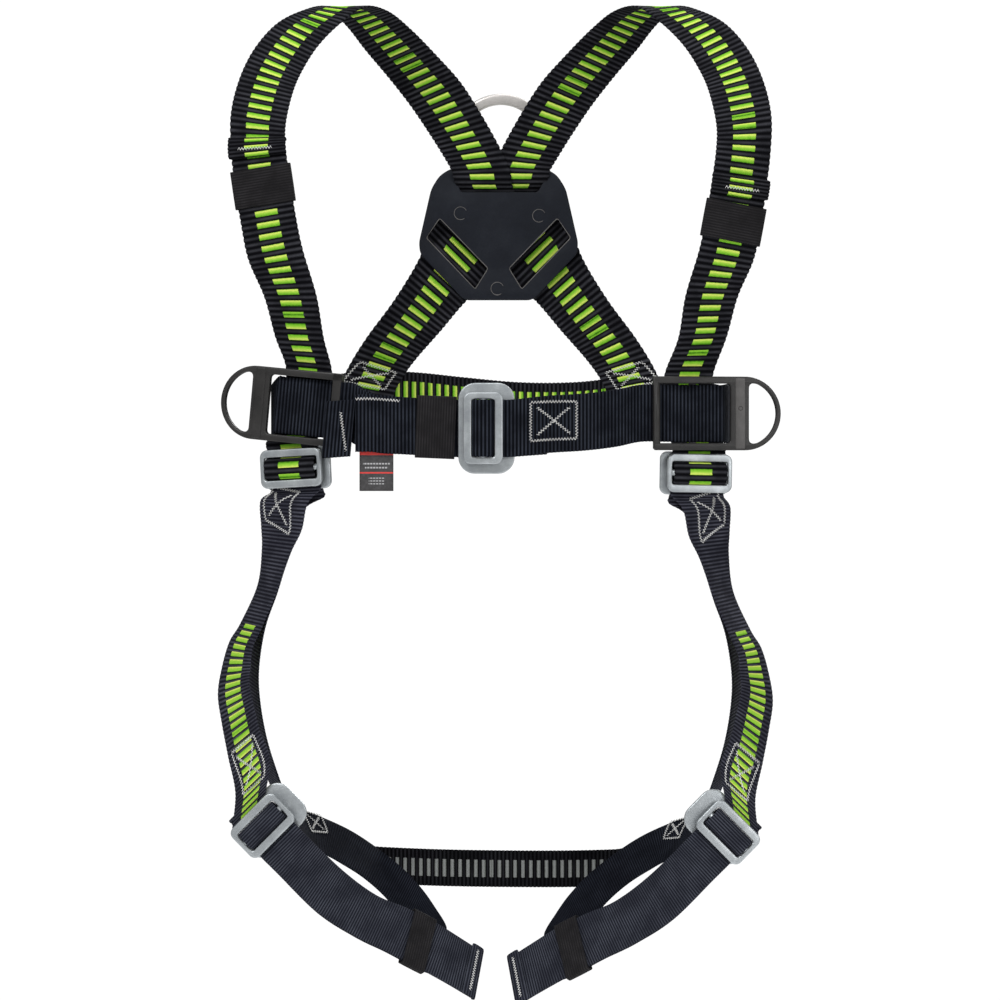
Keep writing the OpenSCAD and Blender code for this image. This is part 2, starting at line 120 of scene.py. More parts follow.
def behind(f):
    return [list(np.array(f[0]) + turned([0, STACK, 0], f[1], f[2])), f[1], f[2], f[3]]


# ---------------------------------------------------------------- ribbons
# A route is an array of rows [x, y, z, wx, wy, wz]: a point on the middle and the vector across.
def row(p, w):
    return [*p, *w]


def mirrored(rows):
    return np.array(rows, float) * [-1, 1, 1, -1, 1, 1]


def shifted(rows, v):
    return np.array(rows, float) + [*v, 0, 0, 0]


def smooth(rows, n):
    rows = np.array(rows, float)
    ends = np.vstack([2 * rows[0] - rows[1], rows, 2 * rows[-1] - rows[-2]])
    t = np.linspace(0, 1, n, endpoint=False)[:, None]
    spans = []
    for i in range(len(rows) - 1):
        a, b, c, d = ends[i:i + 4]
        spans.append(0.5 * (2 * b + (c - a) * t + (2 * a - 5 * b + 4 * c - d) * t**2
                            + (3 * b - a - 3 * c + d) * t**3))
    return np.vstack(spans + [rows[-1:]])


def faces_of(rows):
    """Unit vectors out of the face of each row."""
    p = rows[:, :3]
    t = np.vstack([p[1] - p[0], p[2:] - p[:-2], p[-1] - p[-2]])
    n = np.cross(t, rows[:, 3:])
    return n / np.linalg.norm(n, axis=1)[:, None]


def lifted(rows, h):
    rows = np.array(rows, float)
    out = rows.copy()
    out[:, :3] += h * faces_of(rows)
    return out


NEAR_LAYER = FRAME_T / 2 + GAP + WEB_T / 2
FAR_LAYER = NEAR_LAYER + LAYER


def buckle_turn(f, w, reach=22):
    """Round the bar of a buckle, bulging so that the webbing nearly fills the opening."""
    near, far = NEAR_LAYER, FAR_LAYER
    places = [[reach, far], [15.5, far], [10, far - 0.1], [4, 4.5], [-3.8, 4.4], [-7.8, 1.6],
              [-7.5, -1.6], [-3.6, -4.6], [2.4, -4.7], [6.2, -2.6], [7.6, 0.8], [9.4, near], [15.5, near],
              [reach, near]]
    return [row(at(f, [s, d, 0]), direction(f, [0, 0, w])) for s, d in places]


def end_turn(f, inner, w, reach):
    h = FRAME_T / 2
    e = GAP + WEB_T / 2
    c = 0.8 * e
    places = [[reach + 6, h + e + 0.3], [reach, h + e], [inner + 3, h + e], [inner + 0.6, h + e],
              [inner - c, h + c], [inner - e, h - 1], [inner - e, 1 - h], [inner - c, -h - c],
              [inner + 0.6, -h - e], [inner + 3, -h - e], [reach, -h - e - 0.3]]
    return [row(at(f, [s, d, 0]), direction(f, [0, 0, w])) for s, d in places]


# ---------------------------------------------------------------- routes
SHOULDER_FRONT = [
    [-158, -88, 64, 38, -18, -2], [-165, -93, 96, 41, -17, 0], [-176.5, -96, 128, 43, -12, 7],
    [-182, -96, 154, 43, -12, 7], [-186.5, -96, 182, 43.2, -11.5, 6], [-190, -95, 208, 43.3, -11, 4],
    [-191, -86, 234, 44, -8, -7], [-186, -68, 261, 43, -6, -11], [-177, -48, 284, 39, -12, -18],
    [-162, -30, 306, 35, -20, -18], [-143, -11, 322, 33, -28, -11], [-125, 10, 331, 33, -30, -2],
    [-108, 34, 324, 35, -27, 9], [-91, 56, 308, 38, -19, 15], [-71, 75, 287, 40, -11, 17],
    [-53, 87, 266, 42, -5, 18], [-37, 94, 242, 44, 0, 14], [-24, 96, 220, 46, 0, 8]]
SLOT_X = [-17, -15.5, -14.5, -13, -11, -7, -3, 1, 6, 18, 32]
SLOT_INNER = [[96.5, 206], [96.8, 200], [98.6, 195.2], [102.2, 191.2], [105.6, 186.8], [109.6, 181],
              [113.3, 178.2], [115.1, 173.5], [115, 164.5], [113.2, 152.5], [109.5, 139]]
SLOT_OUTER = [[98.4, 206.5], [98.8, 200.8], [100.2, 196.6], [103.4, 192.9], [107.2, 187.8], [111, 182.4],
              [114.6, 179.8], [117, 174], [117.6, 164.5], [116.6, 152.5], [113, 139]]
SLOT_ACROSS = [[47, 0, 3], [48, 0, 0], [47, 0, 0], [46, 0, 0], [46, 0, 0], [47, 0, 0],
               [48, 0, 0], [48, 0, 0], [46, 0, 7], [46, 0, 32], [50, 0, 49]]
LOWER_BACK = [
    [46.5, 107, 117.5, 39, 0, 36], [68, 104, 87, 37, -6, 27], [90, 99, 59, 40, -10, 18],
    [104, 94, 37, 43, -13, 10], [112, 89, 17, 43, -16, 6], [115, 87, 0, 42, -16, 4]]
BACK_WAIST = [
    [-181, 20, 6, 0, 0, 45], [-170, 52, 9, 0, 0, 45], [-147, 78, 13, 0, 0, 45], [-112, 97, 19, 0, 0, 45],
    [-70, 107, 18, 0, 0, 45], [-30, 111, 14, 0, 0, 45], [15, 112, 10, 0, 0, 45], [60, 109, 10, 0, 0, 45],
    [105, 99, 14, 0, 0, 45], [143, 80, 12, 0, 0, 45], [168, 52, 8, 0, 0, 45], [180, 20, 4, 0, 0, 45]]
HIP_SIDE = [[179.5, -48, 5, 0, 0, 45], [181, -26, 5, 0, 0, 45], [182.5, -4, 5, 0, 0, 45]]
HIP_START = [[-86, -106.6, -5, 0, 0, 45], [-103, -106.4, -4, 0, 0, 45]]
HIP_TURN = [[180.6, -68], [178.2, -73]]
BELT_FRONT_RIGHT = [[36, -120.7, -5, 0, 0, 45], [66, -116.5, -3, 0, 0, 45], [90, -110, 0, 0, 0, 45]]
BELT_FRONT_LEFT = [[-100, -110.4, -4, 0, 0, 45], [-75, -110, -6, 0, 0, 45], [-51, -110, -7, 0, 0, 45]]
LEG_FRONT = [
    [-171, -78, -66, 38, -23, -2], [-173, -77, -86, 33, -30, -3], [-177, -77, -104, 24, -38, -3],
    [-184, -76, -133, 17, -41, -3], [-197, -74, -163, 18, -41, -3], [-205, -72, -178, 20, -40, -3],
    [-209, -70, -196, 24, -38, 2], [-211, -70, -213, 26, -34, 10], [-208, -69, -232, 26, -32, 17],
    [-203, -67, -256, 26, -28, 22], [-196, -67, -282, 28, -13, 27]]
LEG_REAR = [
    [-170.5, -68.5, -70, 32, -31, -2], [-175.5, -69.5, -92, 26, -36, -3], [-179, -71, -112, 21, -39, -3],
    [-184, -68, -136, 16, -42, -3], [-192, -60, -162, 13, -43, -4], [-197, -46, -192, 12, -43, -6],
    [-197, -34, -218, 12, -43, -6], [-192, -22, -250, 12, -43, -6], [-184, -9, -280, 14, -42, -8],
    [-177, 1.5, -300, 15, -41, -11]]
THIGH_LOOP = [
    [-170, 12, -318, 14, -36, -21], [-150, 34, -331, 2, -36, -26], [-128.5, 49, -342.5, -9, -37, -23],
    [-106, 58, -357.5, -10, -38, -22], [-86, 58.5, -374.5, -12, -37, -22.5], [-70, 49, -393, -13, -34, -26],
    [-58, 30, -410, -12, -30, -31], [-51, 8, -420, -11, -27, -34], [-50, -10, -424, -12, -26, -34],
    [-57, -20, -421, -14, -26, -34], [-67, -25, -415.5, -14, -26, -34], [-84, -33, -406, -15, -25, -33],
    [-108.5, -43, -394, -15.5, -26, -31], [-136.5, -53, -373.5, -20, -17, -31.5]]
THIGH_FRONT_START = 9
THIGH_TAIL_END = [[-38, -14, -431.5, -10, -26, -35], [-20, -8, -443, -7, -26, -36]]
LEG_SHIFT = [-9, -2, -5]
PELVIC = [
    [-105, 80, -360, 0, 0, 45], [-94, 81, -361, 0, 0, 45], [-50, 84, -363, 0, 0, 45],
    [0, 86, -364, 0, 0, 45], [50, 84, -364, 0, 0, 45], [88, 81, -363, 0, 0, 45], [99, 80, -362, 0, 0, 45]]
MAIN_DEPTH = [8.7, 10]
TAIL_TOP = [0.35, 0.2]
TAIL_ROWS = [8, 7]
STRAP_U = [[31, 31, 31], [31, 29, 28]]
STRAP_V = [-16, 8, 30]
STRAP_LOW_W = 39
CROSSING = [1, 2, 2.4]


def index(side):
    return 0 if side == LEFT else 1


def for_side(rows, side):
    return np.array(rows, float) if side == LEFT else mirrored(rows)


def deeper(rows, depths):
    rows = np.array(rows, float)
    rows[-len(depths):, 1] += depths
    return rows


def slot_rows(path):
    return [[x, p[0], p[1], *w] for x, p, w in zip(SLOT_X, path, SLOT_ACROSS)]


def shoulder_main(side):
    i = index(side)
    f = SIDE_FRAMES[i]
    low = [row(at(f, [u, MAIN_DEPTH[i], v]), direction(f, [-STRAP_LOW_W, 0, 0]))
           for u, v in zip(STRAP_U[i], STRAP_V)]
    front = SHOULDER_FRONT if side == LEFT else deeper(SHOULDER_FRONT, CROSSING)
    return np.vstack([low, for_side(front, side)])


def shoulder_tail(side):
    rows = shoulder_main(side)
    n = TAIL_ROWS[index(side)]
    t = TAIL_TOP[index(side)]
    return lifted(np.vstack([rows[:n + 1], rows[n] * (1 - t) + rows[n + 1] * t]), side * LAYER)


def shoulder_route(side):
    path = SLOT_INNER if side == LEFT else SLOT_OUTER
    return np.vstack([shoulder_tail(side)[::-1], buckle_turn(HIP_FRAMES[index(side)], 43)[::-1],
                      shoulder_main(side), for_side(slot_rows(path) + LOWER_BACK, side)])


def leg_shift(side):
    return [0, 0, 0] if side == LEFT else LEG_SHIFT


def leg_route(side):
    i = index(side)
    v = leg_shift(side)
    return np.vstack([end_turn(behind(LEG_FRAMES[i]), LEG_INNER_EDGE, LEG_BAR_W, 17),
                      shifted(for_side(LEG_FRONT[::-1], side), v),
                      end_turn(opposite(behind(HIP_FRAMES[i])), HIP_INNER_EDGE, -43, 18)[::-1],
                      shifted(for_side(np.vstack([LEG_REAR, lifted(THIGH_LOOP[:2], LAYER)]), side), v)])


def thigh_route(side):
    v = leg_shift(side)
    front = THIGH_LOOP[THIGH_FRONT_START:]
    tail = np.vstack([lifted(front, LAYER)[::-1], THIGH_TAIL_END])
    return np.vstack([shifted(for_side(THIGH_LOOP, side), v),
                      buckle_turn(opposite(LEG_FRAMES[index(side)]), LEG_BAR_W, 26),
                      shifted(for_side(tail, side), v)])


def plate_row(f, u, d):
    return row(at(f, [u, d, 0]), direction(f, [0, 0, WEB_W]))


def waist_lap(side):
    rows = BACK_WAIST if side == LEFT else BACK_WAIST[::-1]
    return lifted(smooth(rows, 3)[:5], side * LAYER)


def hip_end(side):
    turn = HIP_TURN[index(side)]
    return np.vstack([[side * turn[0], turn[1], 5, 0, 0, WEB_W],
                      np.array(HIP_SIDE) if side == RIGHT else mirrored(HIP_SIDE), waist_lap(side)])


def hip_left_route():
    f = SIDE_FRAMES[0]
    places = [[-8, 5.4], [0, 6], [8, 4.2], [14, 3.6], [48, 3.6], [54, 4.1]]
    return np.vstack([HIP_START, [plate_row(f, u, d) for u, d in places], hip_end(LEFT)])


def belt_right_route():
    f = SIDE_FRAMES[1]
    places = [[-12, 3.9], [10, 3.9], [35, 3.9], [50, 3.9], [54, 4.6]]
    return np.vstack([[row(at(BELT_FRAME, [50, FAR_LAYER, 2]), [0, 0, WEB_W])],
                      buckle_turn(BELT_FRAME, WEB_W), BELT_FRONT_RIGHT,
                      [plate_row(f, u, d) for u, d in places], hip_end(RIGHT)])


def belt_left_route():
    f = SIDE_FRAMES[0]
    r = PLATE_TURN_R
    places = [[-12, 1.5], [-4, 3.1], [0, r], [r * 0.7, r * 0.7], [r, 0], [r * 0.7, -r * 0.7],
              [0, -r], [-4, -3.1], [-11, -1]]
    return np.vstack([[[-98, -108.5, -4, 0, 0, WEB_W]], [plate_row(f, u, d) for u, d in places],
                      BELT_FRONT_LEFT, buckle_turn(opposite(behind(BELT_FRAME)), -WEB_W),
                      lifted(BELT_FRONT_LEFT, LAYER)[::-1], [[-114, -112.6, -4, 0, 0, WEB_W]]])


# ---------------------------------------------------------------- materials
def rgb(r, g, b):
    return (r, g, b, 1.0)


class Surface:
    """A material of one Principled shader, with short names for the nodes that feed it."""

    def __init__(self, name):
        self.material = bpy.data.materials.new(name)
        self.material.use_nodes = True
        self.tree = self.material.node_tree
        self.tree.nodes.clear()
        out = self.tree.nodes.new("ShaderNodeOutputMaterial")
        self.shader = self.tree.nodes.new("ShaderNodeBsdfPrincipled")
        self.tree.links.new(self.shader.outputs[0], out.inputs[0])

    def new(self, kind, **settings):
        node = self.tree.nodes.new(kind)
        for key, value in settings.items():
            setattr(node, key, value)
        return node

    def put(self, socket, value):
        """Links another node's output to a socket, or sets a constant on it."""
        if isinstance(value, bpy.types.NodeSocket):
            self.tree.links.new(value, socket)
        else:
            socket.default_value = value

    def give(self, values):
        """Puts values on the shader's own sockets."""
        for name, value in values.items():
            self.put(self.shader.inputs[name], value)

    def math(self, operation, a, b=0.0):
        node = self.new("ShaderNodeMath", operation=operation)
        self.put(node.inputs[0], a)
        self.put(node.inputs[1], b)
        return node.outputs[0]

    def add(self, a, b):
        return self.math("ADD", a, b)

    def sub(self, a, b):
        return self.math("SUBTRACT", a, b)

    def mul(self, a, b):
        return self.math("MULTIPLY", a, b)

    def scaled(self, value, factor, base):
        return self.add(self.mul(value, factor), base)

    def weigh(self, a, b, share):
        """The share of b in a mixture of two values."""
        return self.add(self.mul(a, 1 - share), self.mul(b, share))

    def wave(self, length, period):
        """Sine of a length in metres, with its period in millimetres."""
        return self.math("SINE", self.mul(length, 2 * pi / (period * MM)))

    def step(self, value, low, high):
        """0 below low, 1 above high, smooth between."""
        node = self.new("ShaderNodeMapRange", interpolation_type="SMOOTHSTEP")
        self.put(node.inputs["Value"], value)
        node.inputs["From Min"].default_value = low
        node.inputs["From Max"].default_value = high
        return node.outputs["Result"]

    def falling(self, value, low, high):
        return self.sub(1.0, self.step(value, low, high))

    def strap_uv(self):
        """Lengths along and across a strap, in metres."""
        parts = self.new("ShaderNodeSeparateXYZ")
        self.put(parts.inputs[0], self.new("ShaderNodeUVMap", uv_map="strap").outputs[0])
        return parts.outputs[0], parts.outputs[1]

    def noise(self, scale, detail=3.0, roughness=0.5):
        node = self.new("ShaderNodeTexNoise")
        self.put(node.inputs["Vector"], self.new("ShaderNodeTexCoord").outputs["Object"])
        node.inputs["Scale"].default_value = scale
        node.inputs["Detail"].default_value = detail
        node.inputs["Roughness"].default_value = roughness
        return node.outputs["Fac"]

    def mix(self, factor, a, b):
        node = self.new("ShaderNodeMix", data_type="RGBA")
        for name, value in (("Factor", factor), ("A", a), ("B", b)):
            self.put(node.inputs[name], value)
        return node.outputs["Result"]

    def ramp(self, value, stops):
        node = self.new("ShaderNodeValToRGB")
        while len(node.color_ramp.elements) < len(stops):
            node.color_ramp.elements.new(0.5)
        for element, (place, colour) in zip(node.color_ramp.elements, stops):
            element.position = place
            element.color = colour
        self.put(node.inputs[0], value)
        return node.outputs[0]

    def bump(self, height, strength, distance):
        node = self.new("ShaderNodeBump")
        self.put(node.inputs["Height"], height)
        node.inputs["Strength"].default_value = strength
        node.inputs["Distance"].default_value = distance
        self.give({"Normal": node.outputs[0]})


# The webbing's black: first its black in the furrows, darkened with painted shade, then a painted highlight
# for the rib crests.
BLACK_FURROW_SHADE = rgb(0.0012, 0.0012, 0.0017)
BLACK_CREST_HIGHLIGHT = rgb(0.036, 0.0365, 0.043)
GREEN_SHADE = rgb(0.03, 0.09, 0.004)
# Painted shade along one edge of a ladder bar
GREEN_EDGE_SHADE = rgb(0.030, 0.12, 0.006)
GREEN = rgb(0.15, 0.42, 0.022)
LIME = rgb(0.31, 0.58, 0.055)
# Painted highlight on the ladder bars
YELLOW_HIGHLIGHT = rgb(0.68, 0.76, 0.15)
GREY_TAPE = rgb(0.11, 0.11, 0.115)
GREY_SHEEN = rgb(0.21, 0.21, 0.22)
# Ramps across a ladder bar, holding the painted highlight and, in the first, also the painted shade named
# above
LADDER_STOPS = [(0.0, GREEN_EDGE_SHADE), (0.16, GREEN), (0.5, LIME), (0.80, YELLOW_HIGHLIGHT), (1.0, GREEN)]
LEG_STOPS = [(0.0, GREEN), (0.3, LIME), (0.62, LIME), (0.86, YELLOW_HIGHLIGHT), (1.0, YELLOW_HIGHLIGHT)]
GREY_STOPS = [(0.0, GREY_TAPE), (0.5, GREY_SHEEN), (1.0, GREY_TAPE)]
YARN = 0.9                           # pitch of the yarns across a strap
LADDER_YARN = 0.95
ELASTIC_RIB = 2.1

# Each webbing's rib period and relief, the notches of its edge, and its ladder: the period of the
# bars, a bar's share of it, and half a bar's length
SHOULDER_WEAVE = {"rib": 4.6, "relief": 0.55, "scallop": 0.9, "ladder": (9.2, 0.54, 9.2)}
FOLD_WEAVE = {"rib": 2.7, "relief": 0.5, "scallop": 0.7, "ladder": (5.4, 0.55, 9.2)}
LEG_WEAVE = {"rib": 3.0, "relief": 0.42, "scallop": 0.7, "ladder": (6.0, 0.66, 10.8)}
BELT_WEAVE = {"rib": 2.9, "relief": 0.42, "scallop": 0.4, "ladder": None}
THIGH_WEAVE = {"rib": 2.1, "relief": 0.26, "scallop": 0.25, "ladder": None}
WAIST_WEAVE = {"rib": 3.4, "relief": 0.45, "scallop": 0.7, "ladder": (6.8, 0.6, 14.5)}
PELVIC_WEAVE = {"rib": 3.2, "relief": 0.3, "scallop": 0.4, "ladder": (6.4, 0.5, 7.0)}


def ladder_bars(n, s, v, ladder, stops):
    """Mask and colour of the bars. Their painted highlight and painted shade change sides slowly along the
    strap.
    """
    period, share, half = ladder
    count = n.math("DIVIDE", s, period * MM)
    bar = n.math("FRACT", count)
    drift = n.math("SINE", n.mul(n.math("FLOOR", count), 0.21))
    place = n.math("ABSOLUTE", n.sub(n.step(drift, -0.35, 0.35), n.math("DIVIDE", bar, share)))
    reach = n.add(n.math("ABSOLUTE", v), n.mul(n.sub(n.noise(900, 1), 0.5), 0.0009))
    inside = n.falling(reach, (half - 0.25) * MM, (half + 0.25) * MM)
    ends = n.mul(n.step(bar, 0.0, 0.05), n.falling(bar, share - 0.05, share))
    shade = n.add(place, n.mul(n.sub(n.noise(420, 2), 0.5), 0.25))
    thread = n.scaled(n.wave(v, LADDER_YARN), 0.12, 0.88)
    return n.mul(inside, ends), n.mix(thread, GREEN_SHADE, n.ramp(shade, stops))


def webbing_material(name, weave, stops=None, tint=(1.0, 1.0, 1.0), crest=1.0, deep=2.0):
    """Ribbed black webbing with a painted highlight on the rib crests and painted shade in the furrows. crest
    and deep brighten that highlight and the furrows, and stops colour the ladder.
    """
    n = Surface(name)
    s, v = n.strap_uv()
    rib = weave["rib"]
    hump = n.math("SINE", n.mul(n.math("FRACT", n.math("DIVIDE", s, rib * MM)), pi))
    across = n.wave(v, YARN)
    yarn = n.weigh(across, n.mul(across, n.wave(s, rib / 3)), 0.4)
    # Painted highlight along each rib's crest, in patches and crossed by the yarns; elsewhere the black with
    # painted shade in the furrows.
    rib_highlight = n.mul(n.math("POWER", hump, 3.5), n.scaled(n.step(n.noise(55, 4), 0.3, 0.7), 0.6, 0.4))
    rib_highlight = n.mul(rib_highlight, n.scaled(yarn, 0.18, 0.82))
    dark = rgb(*[c * t * deep for c, t in zip(BLACK_FURROW_SHADE, tint)])
    light = rgb(*[c * t * crest for c, t in zip(BLACK_CREST_HIGHLIGHT, tint)])
    colour = n.mix(rib_highlight, dark, light)
    if stops:
        mask, bright = ladder_bars(n, s, v, weave["ladder"], stops)
        colour = n.mix(mask, colour, bright)
    n.give({"Base Color": colour, "Roughness": 0.85, "Specular IOR Level": 0.03})
    n.bump(n.add(yarn, n.mul(n.noise(2600, 2), 0.6)), 0.5, 0.00018)
    return n.material


LEG_TINT = (0.98, 1.0, 1.1)
BELT_TINT = (0.84, 0.97, 1.12)
THIGH_TINT = (0.95, 1.02, 1.1)
# Tint of the thigh webbing's copy in painted shade
THIGH_SHADE_TINT = (0.88, 1.0, 1.2)
shoulder_ladder = webbing_material("shoulder_ladder", SHOULDER_WEAVE, LADDER_STOPS, crest=1.3)
fold_ladder = webbing_material("fold_ladder", FOLD_WEAVE, LADDER_STOPS)
leg_ladder = webbing_material("leg_ladder", LEG_WEAVE, LEG_STOPS, LEG_TINT, 2.2, 7.0)
waist_ladder = webbing_material("waist_ladder", WAIST_WEAVE, LADDER_STOPS)
grey_ladder = webbing_material("grey_ladder", PELVIC_WEAVE, GREY_STOPS, crest=0.45, deep=0.8)
leg_plain = webbing_material("leg_plain", LEG_WEAVE, None, LEG_TINT, 2.2, 7.0)
belt_black = webbing_material("belt_black", BELT_WEAVE, None, BELT_TINT, 1.12)
# The thigh webbing twice: lighter for the front of its loop, and darker and bluer as painted shade for the
# loop's rear, which is turned from the light.
thigh_black = webbing_material("thigh_black", THIGH_WEAVE, None, THIGH_TINT, 1.95, 8.0)
thigh_painted_shade = webbing_material("thigh_painted_shade", THIGH_WEAVE, None, THIGH_SHADE_TINT, 0.65, 2.4)


def elastic_material():
    n = Surface("elastic_black")
    s, v = n.strap_uv()
    line = n.wave(s, ELASTIC_RIB)
    # Painted highlight along each rib of the elastic, in patches.
    rib_highlight = n.mul(n.scaled(line, 0.5, 0.5), n.step(n.noise(80, 4), 0.2, 0.8))
    n.give({"Base Color": n.mix(rib_highlight, rgb(0.0085, 0.0080, 0.0088), rgb(0.0250, 0.0235, 0.0255)),
            "Roughness": 0.8, "Specular IOR Level": 0.08})
    n.bump(n.add(line, n.mul(n.wave(v, 0.7), 0.35)), 0.6, 0.0002)
    return n.material


def thread_material():
    n = Surface("white_thread")
    cloud = n.step(n.noise(500, 3), 0.3, 0.7)
    n.give({"Base Color": n.mix(cloud, rgb(0.42, 0.42, 0.42), rgb(0.72, 0.72, 0.70)), "Roughness": 0.7})
    n.bump(n.noise(5000, 2), 0.5, 0.0001)
    return n.material


def zinc_material():
    """Zinc-plated steel: mottled satin grey with fine scratches."""
    n = Surface("zinc")
    fine = n.noise(1400, 4, 0.7)
    tones = [(0.3, rgb(0.24, 0.26, 0.28)), (0.52, rgb(0.35, 0.375, 0.39)), (0.72, rgb(0.52, 0.55, 0.57))]
    n.give({"Base Color": n.ramp(n.weigh(n.noise(60, 5, 0.6), fine, 0.3), tones), "Metallic": 0.72,
            "Roughness": n.scaled(fine, 0.22, 0.30)})
    n.bump(n.add(fine, n.mul(n.noise(300, 3), 0.6)), 0.25, 0.00025)
    return n.material


def ring_material():
    n = Surface("ring_alloy")
    fine = n.noise(900, 4, 0.65)
    tones = [(0.3, rgb(0.42, 0.40, 0.385)), (0.7, rgb(0.60, 0.58, 0.56))]
    n.give({"Base Color": n.ramp(n.weigh(n.noise(70, 4), fine, 0.4), tones), "Metallic": 0.7,
            "Roughness": n.scaled(fine, 0.2, 0.32)})
    n.bump(fine, 0.25, 0.0002)
    return n.material


COATING = [(0.3, (0.0120, 0.0115, 0.0115)), (0.55, (0.0200, 0.0190, 0.0185)), (0.8, (0.0320, 0.0305, 0.0300))]


def coated_material(name, bright):
    """Dark satin coating, a little lighter where it is rubbed. bright multiplies its tones."""
    n = Surface(name)
    cloud = n.noise(45, 5, 0.6)
    tones = [(place, rgb(*[c * bright for c in tone])) for place, tone in COATING]
    n.give({"Base Color": n.ramp(cloud, tones), "Specular IOR Level": 0.34,
            "Roughness": n.scaled(cloud, 0.16, 0.36)})
    n.bump(n.noise(2200, 2, 0.6), 0.35, 0.00022)
    return n.material


def moulded_material():
    """Moulded dark slate plastic of the dorsal plate with faint flow marks and scuffs."""
    n = Surface("moulded_slate")
    cloud = n.noise(38, 6, 0.62)
    speck = n.noise(700, 4, 0.7)
    tones = [(0.28, rgb(0.0028, 0.0040, 0.0078)), (0.5, rgb(0.0048, 0.0066, 0.0118)),
             (0.78, rgb(0.0125, 0.0150, 0.0212))]
    n.give({"Base Color": n.ramp(n.weigh(cloud, speck, 0.25), tones), "Specular IOR Level": 0.2,
            "Roughness": n.scaled(speck, 0.25, 0.40)})
    n.bump(n.add(speck, n.mul(cloud, 0.5)), 0.3, 0.0003)
    return n.material


LABEL_RED = [(-1, 3.4), (16.6, 17.8)]        # bands down the label
LABEL_LINES = [(9.5, 10.7, 10.5), (12.6, 13.8, 9.0), (21.0, 21.8, 6.0), (23.2, 24.0, 6.0), (25.4, 26.2, 6.0)]
LABEL_WEAVE = 0.5


def label_material():
    """Printed label cloth: dark, with a red head band, a red rule and plain grey lines."""
    n = Surface("label_print")
    s, v = n.strap_uv()

    def band(length, low, high):
        return n.mul(n.step(length, (low - 0.12) * MM, (low + 0.12) * MM),
                     n.falling(length, (high - 0.12) * MM, (high + 0.12) * MM))

    colour = n.mix(n.step(n.noise(400, 3), 0.3, 0.8), rgb(0.022, 0.021, 0.022), rgb(0.045, 0.043, 0.045))
    grey = 0.0
    for low, high, half in LABEL_LINES:
        grey = n.math("MAXIMUM", grey, n.mul(band(s, low, high), band(v, -half, half)))
    dashes = n.step(n.wave(v, 2.3), -0.75, -0.55)
    colour = n.mix(n.mul(grey, dashes), colour, rgb(0.34, 0.34, 0.35))
    red = n.math("MAXIMUM", *[band(s, low, high) for low, high in LABEL_RED])
    n.give({"Base Color": n.mix(red, colour, rgb(0.55, 0.030, 0.025)), "Roughness": 0.6})
    n.bump(n.mul(n.wave(s, LABEL_WEAVE), n.wave(v, LABEL_WEAVE)), 0.3, 0.0001)
    return n.material


elastic = elastic_material()
white_thread = thread_material()
zinc = zinc_material()
ring_alloy = ring_material()
plate_coating = coated_material("plate_coating", 0.85)
plate_band = coated_material("plate_band", 3.2)
moulded_slate = moulded_material()
# Five times lighter than the plates: for the dorsal plate's ejector marks, and for a painted highlight along
# the edges of its slanted slots.
moulded_mark_and_edge_highlight = coated_material("moulded_mark_and_edge_highlight", 5.0)
label_print = label_material()


# ---------------------------------------------------------------- mesh helpers
def mesh_object(name, points, faces, materials, uvs=None, smooth_shaded=True):
    """points are in metres; uvs is one (u, v) for each point."""
    mesh = bpy.data.meshes.new(name)
    mesh.from_pydata([tuple(p) for p in points], [], [tuple(f) for f in faces])
    for m in materials if isinstance(materials, list) else [materials]:
        mesh.materials.append(m)
    if uvs is not None:
        layer = mesh.uv_layers.new(name="strap")
        loops = np.zeros(len(mesh.loops), np.int32)
        mesh.loops.foreach_get("vertex_index", loops)
        layer.data.foreach_set("uv", np.array(uvs, np.float32)[loops].ravel())
    if smooth_shaded:
        mesh.polygons.foreach_set("use_smooth", [True] * len(mesh.polygons))
    mesh.validate()
    obj = bpy.data.objects.new(name, mesh)
    bpy.context.scene.collection.objects.link(obj)
    return obj


def ring_faces(count, size, caps=True):
    """Faces between count closed rings of size points, each ring after the one before."""
    faces = []
    for i in range(count - 1):
        for j in range(size):
            k = (j + 1) % size
            faces.append((i * size + j, i * size + k, (i + 1) * size + k, (i + 1) * size + j))
    if caps:
        faces.append(tuple(range(size))[::-1])
        faces.append(tuple((count - 1) * size + j for j in range(size)))
    return faces


def tube(path, radius, sides=6):
    """Points and faces of a round tube along a path, with the ends drawn in."""
    path = np.array(path, float)
    t = np.vstack([path[1] - path[0], path[2:] - path[:-2], path[-1] - path[-2]])
    t /= np.linalg.norm(t, axis=1)[:, None]
    side = np.cross(t, [0.31, 0.17, 0.93])
    side /= np.linalg.norm(side, axis=1)[:, None]
    up = np.cross(t, side)
    r = np.full(len(path), radius)
    r[0] = r[-1] = radius * 0.35
    turns = [2 * pi * j / sides for j in range(sides)]
    rings = [path + r[:, None] * (side * cos(a) + up * sin(a)) for a in turns]
    return np.stack(rings, 1).reshape(-1, 3), ring_faces(len(path), sides)


def tube_object(name, path, radius, sides, material):
    points, faces = tube(path, radius, sides)
    return mesh_object(name, points * MM, faces, material)


def outward(obj):
    """Turns all faces of a closed mesh outwards."""
    bm = bmesh.new()
    bm.from_mesh(obj.data)
    bmesh.ops.recalc_face_normals(bm, faces=bm.faces)
    bm.to_mesh(obj.data)
    bm.free()
    return obj


def weld(obj, angle=35):
    """Joins points that lie on each other and shades the edges sharper than angle flat."""
    bm = bmesh.new()
    bm.from_mesh(obj.data)
    bmesh.ops.remove_doubles(bm, verts=bm.verts, dist=0.000004)
    bmesh.ops.recalc_face_normals(bm, faces=bm.faces)
    for face in bm.faces:
        face.smooth = True
    for edge in bm.edges:
        if len(edge.link_faces) == 2:
            edge.smooth = edge.calc_face_angle(0) < radians(angle)
    bm.to_mesh(obj.data)
    bm.free()
    return obj


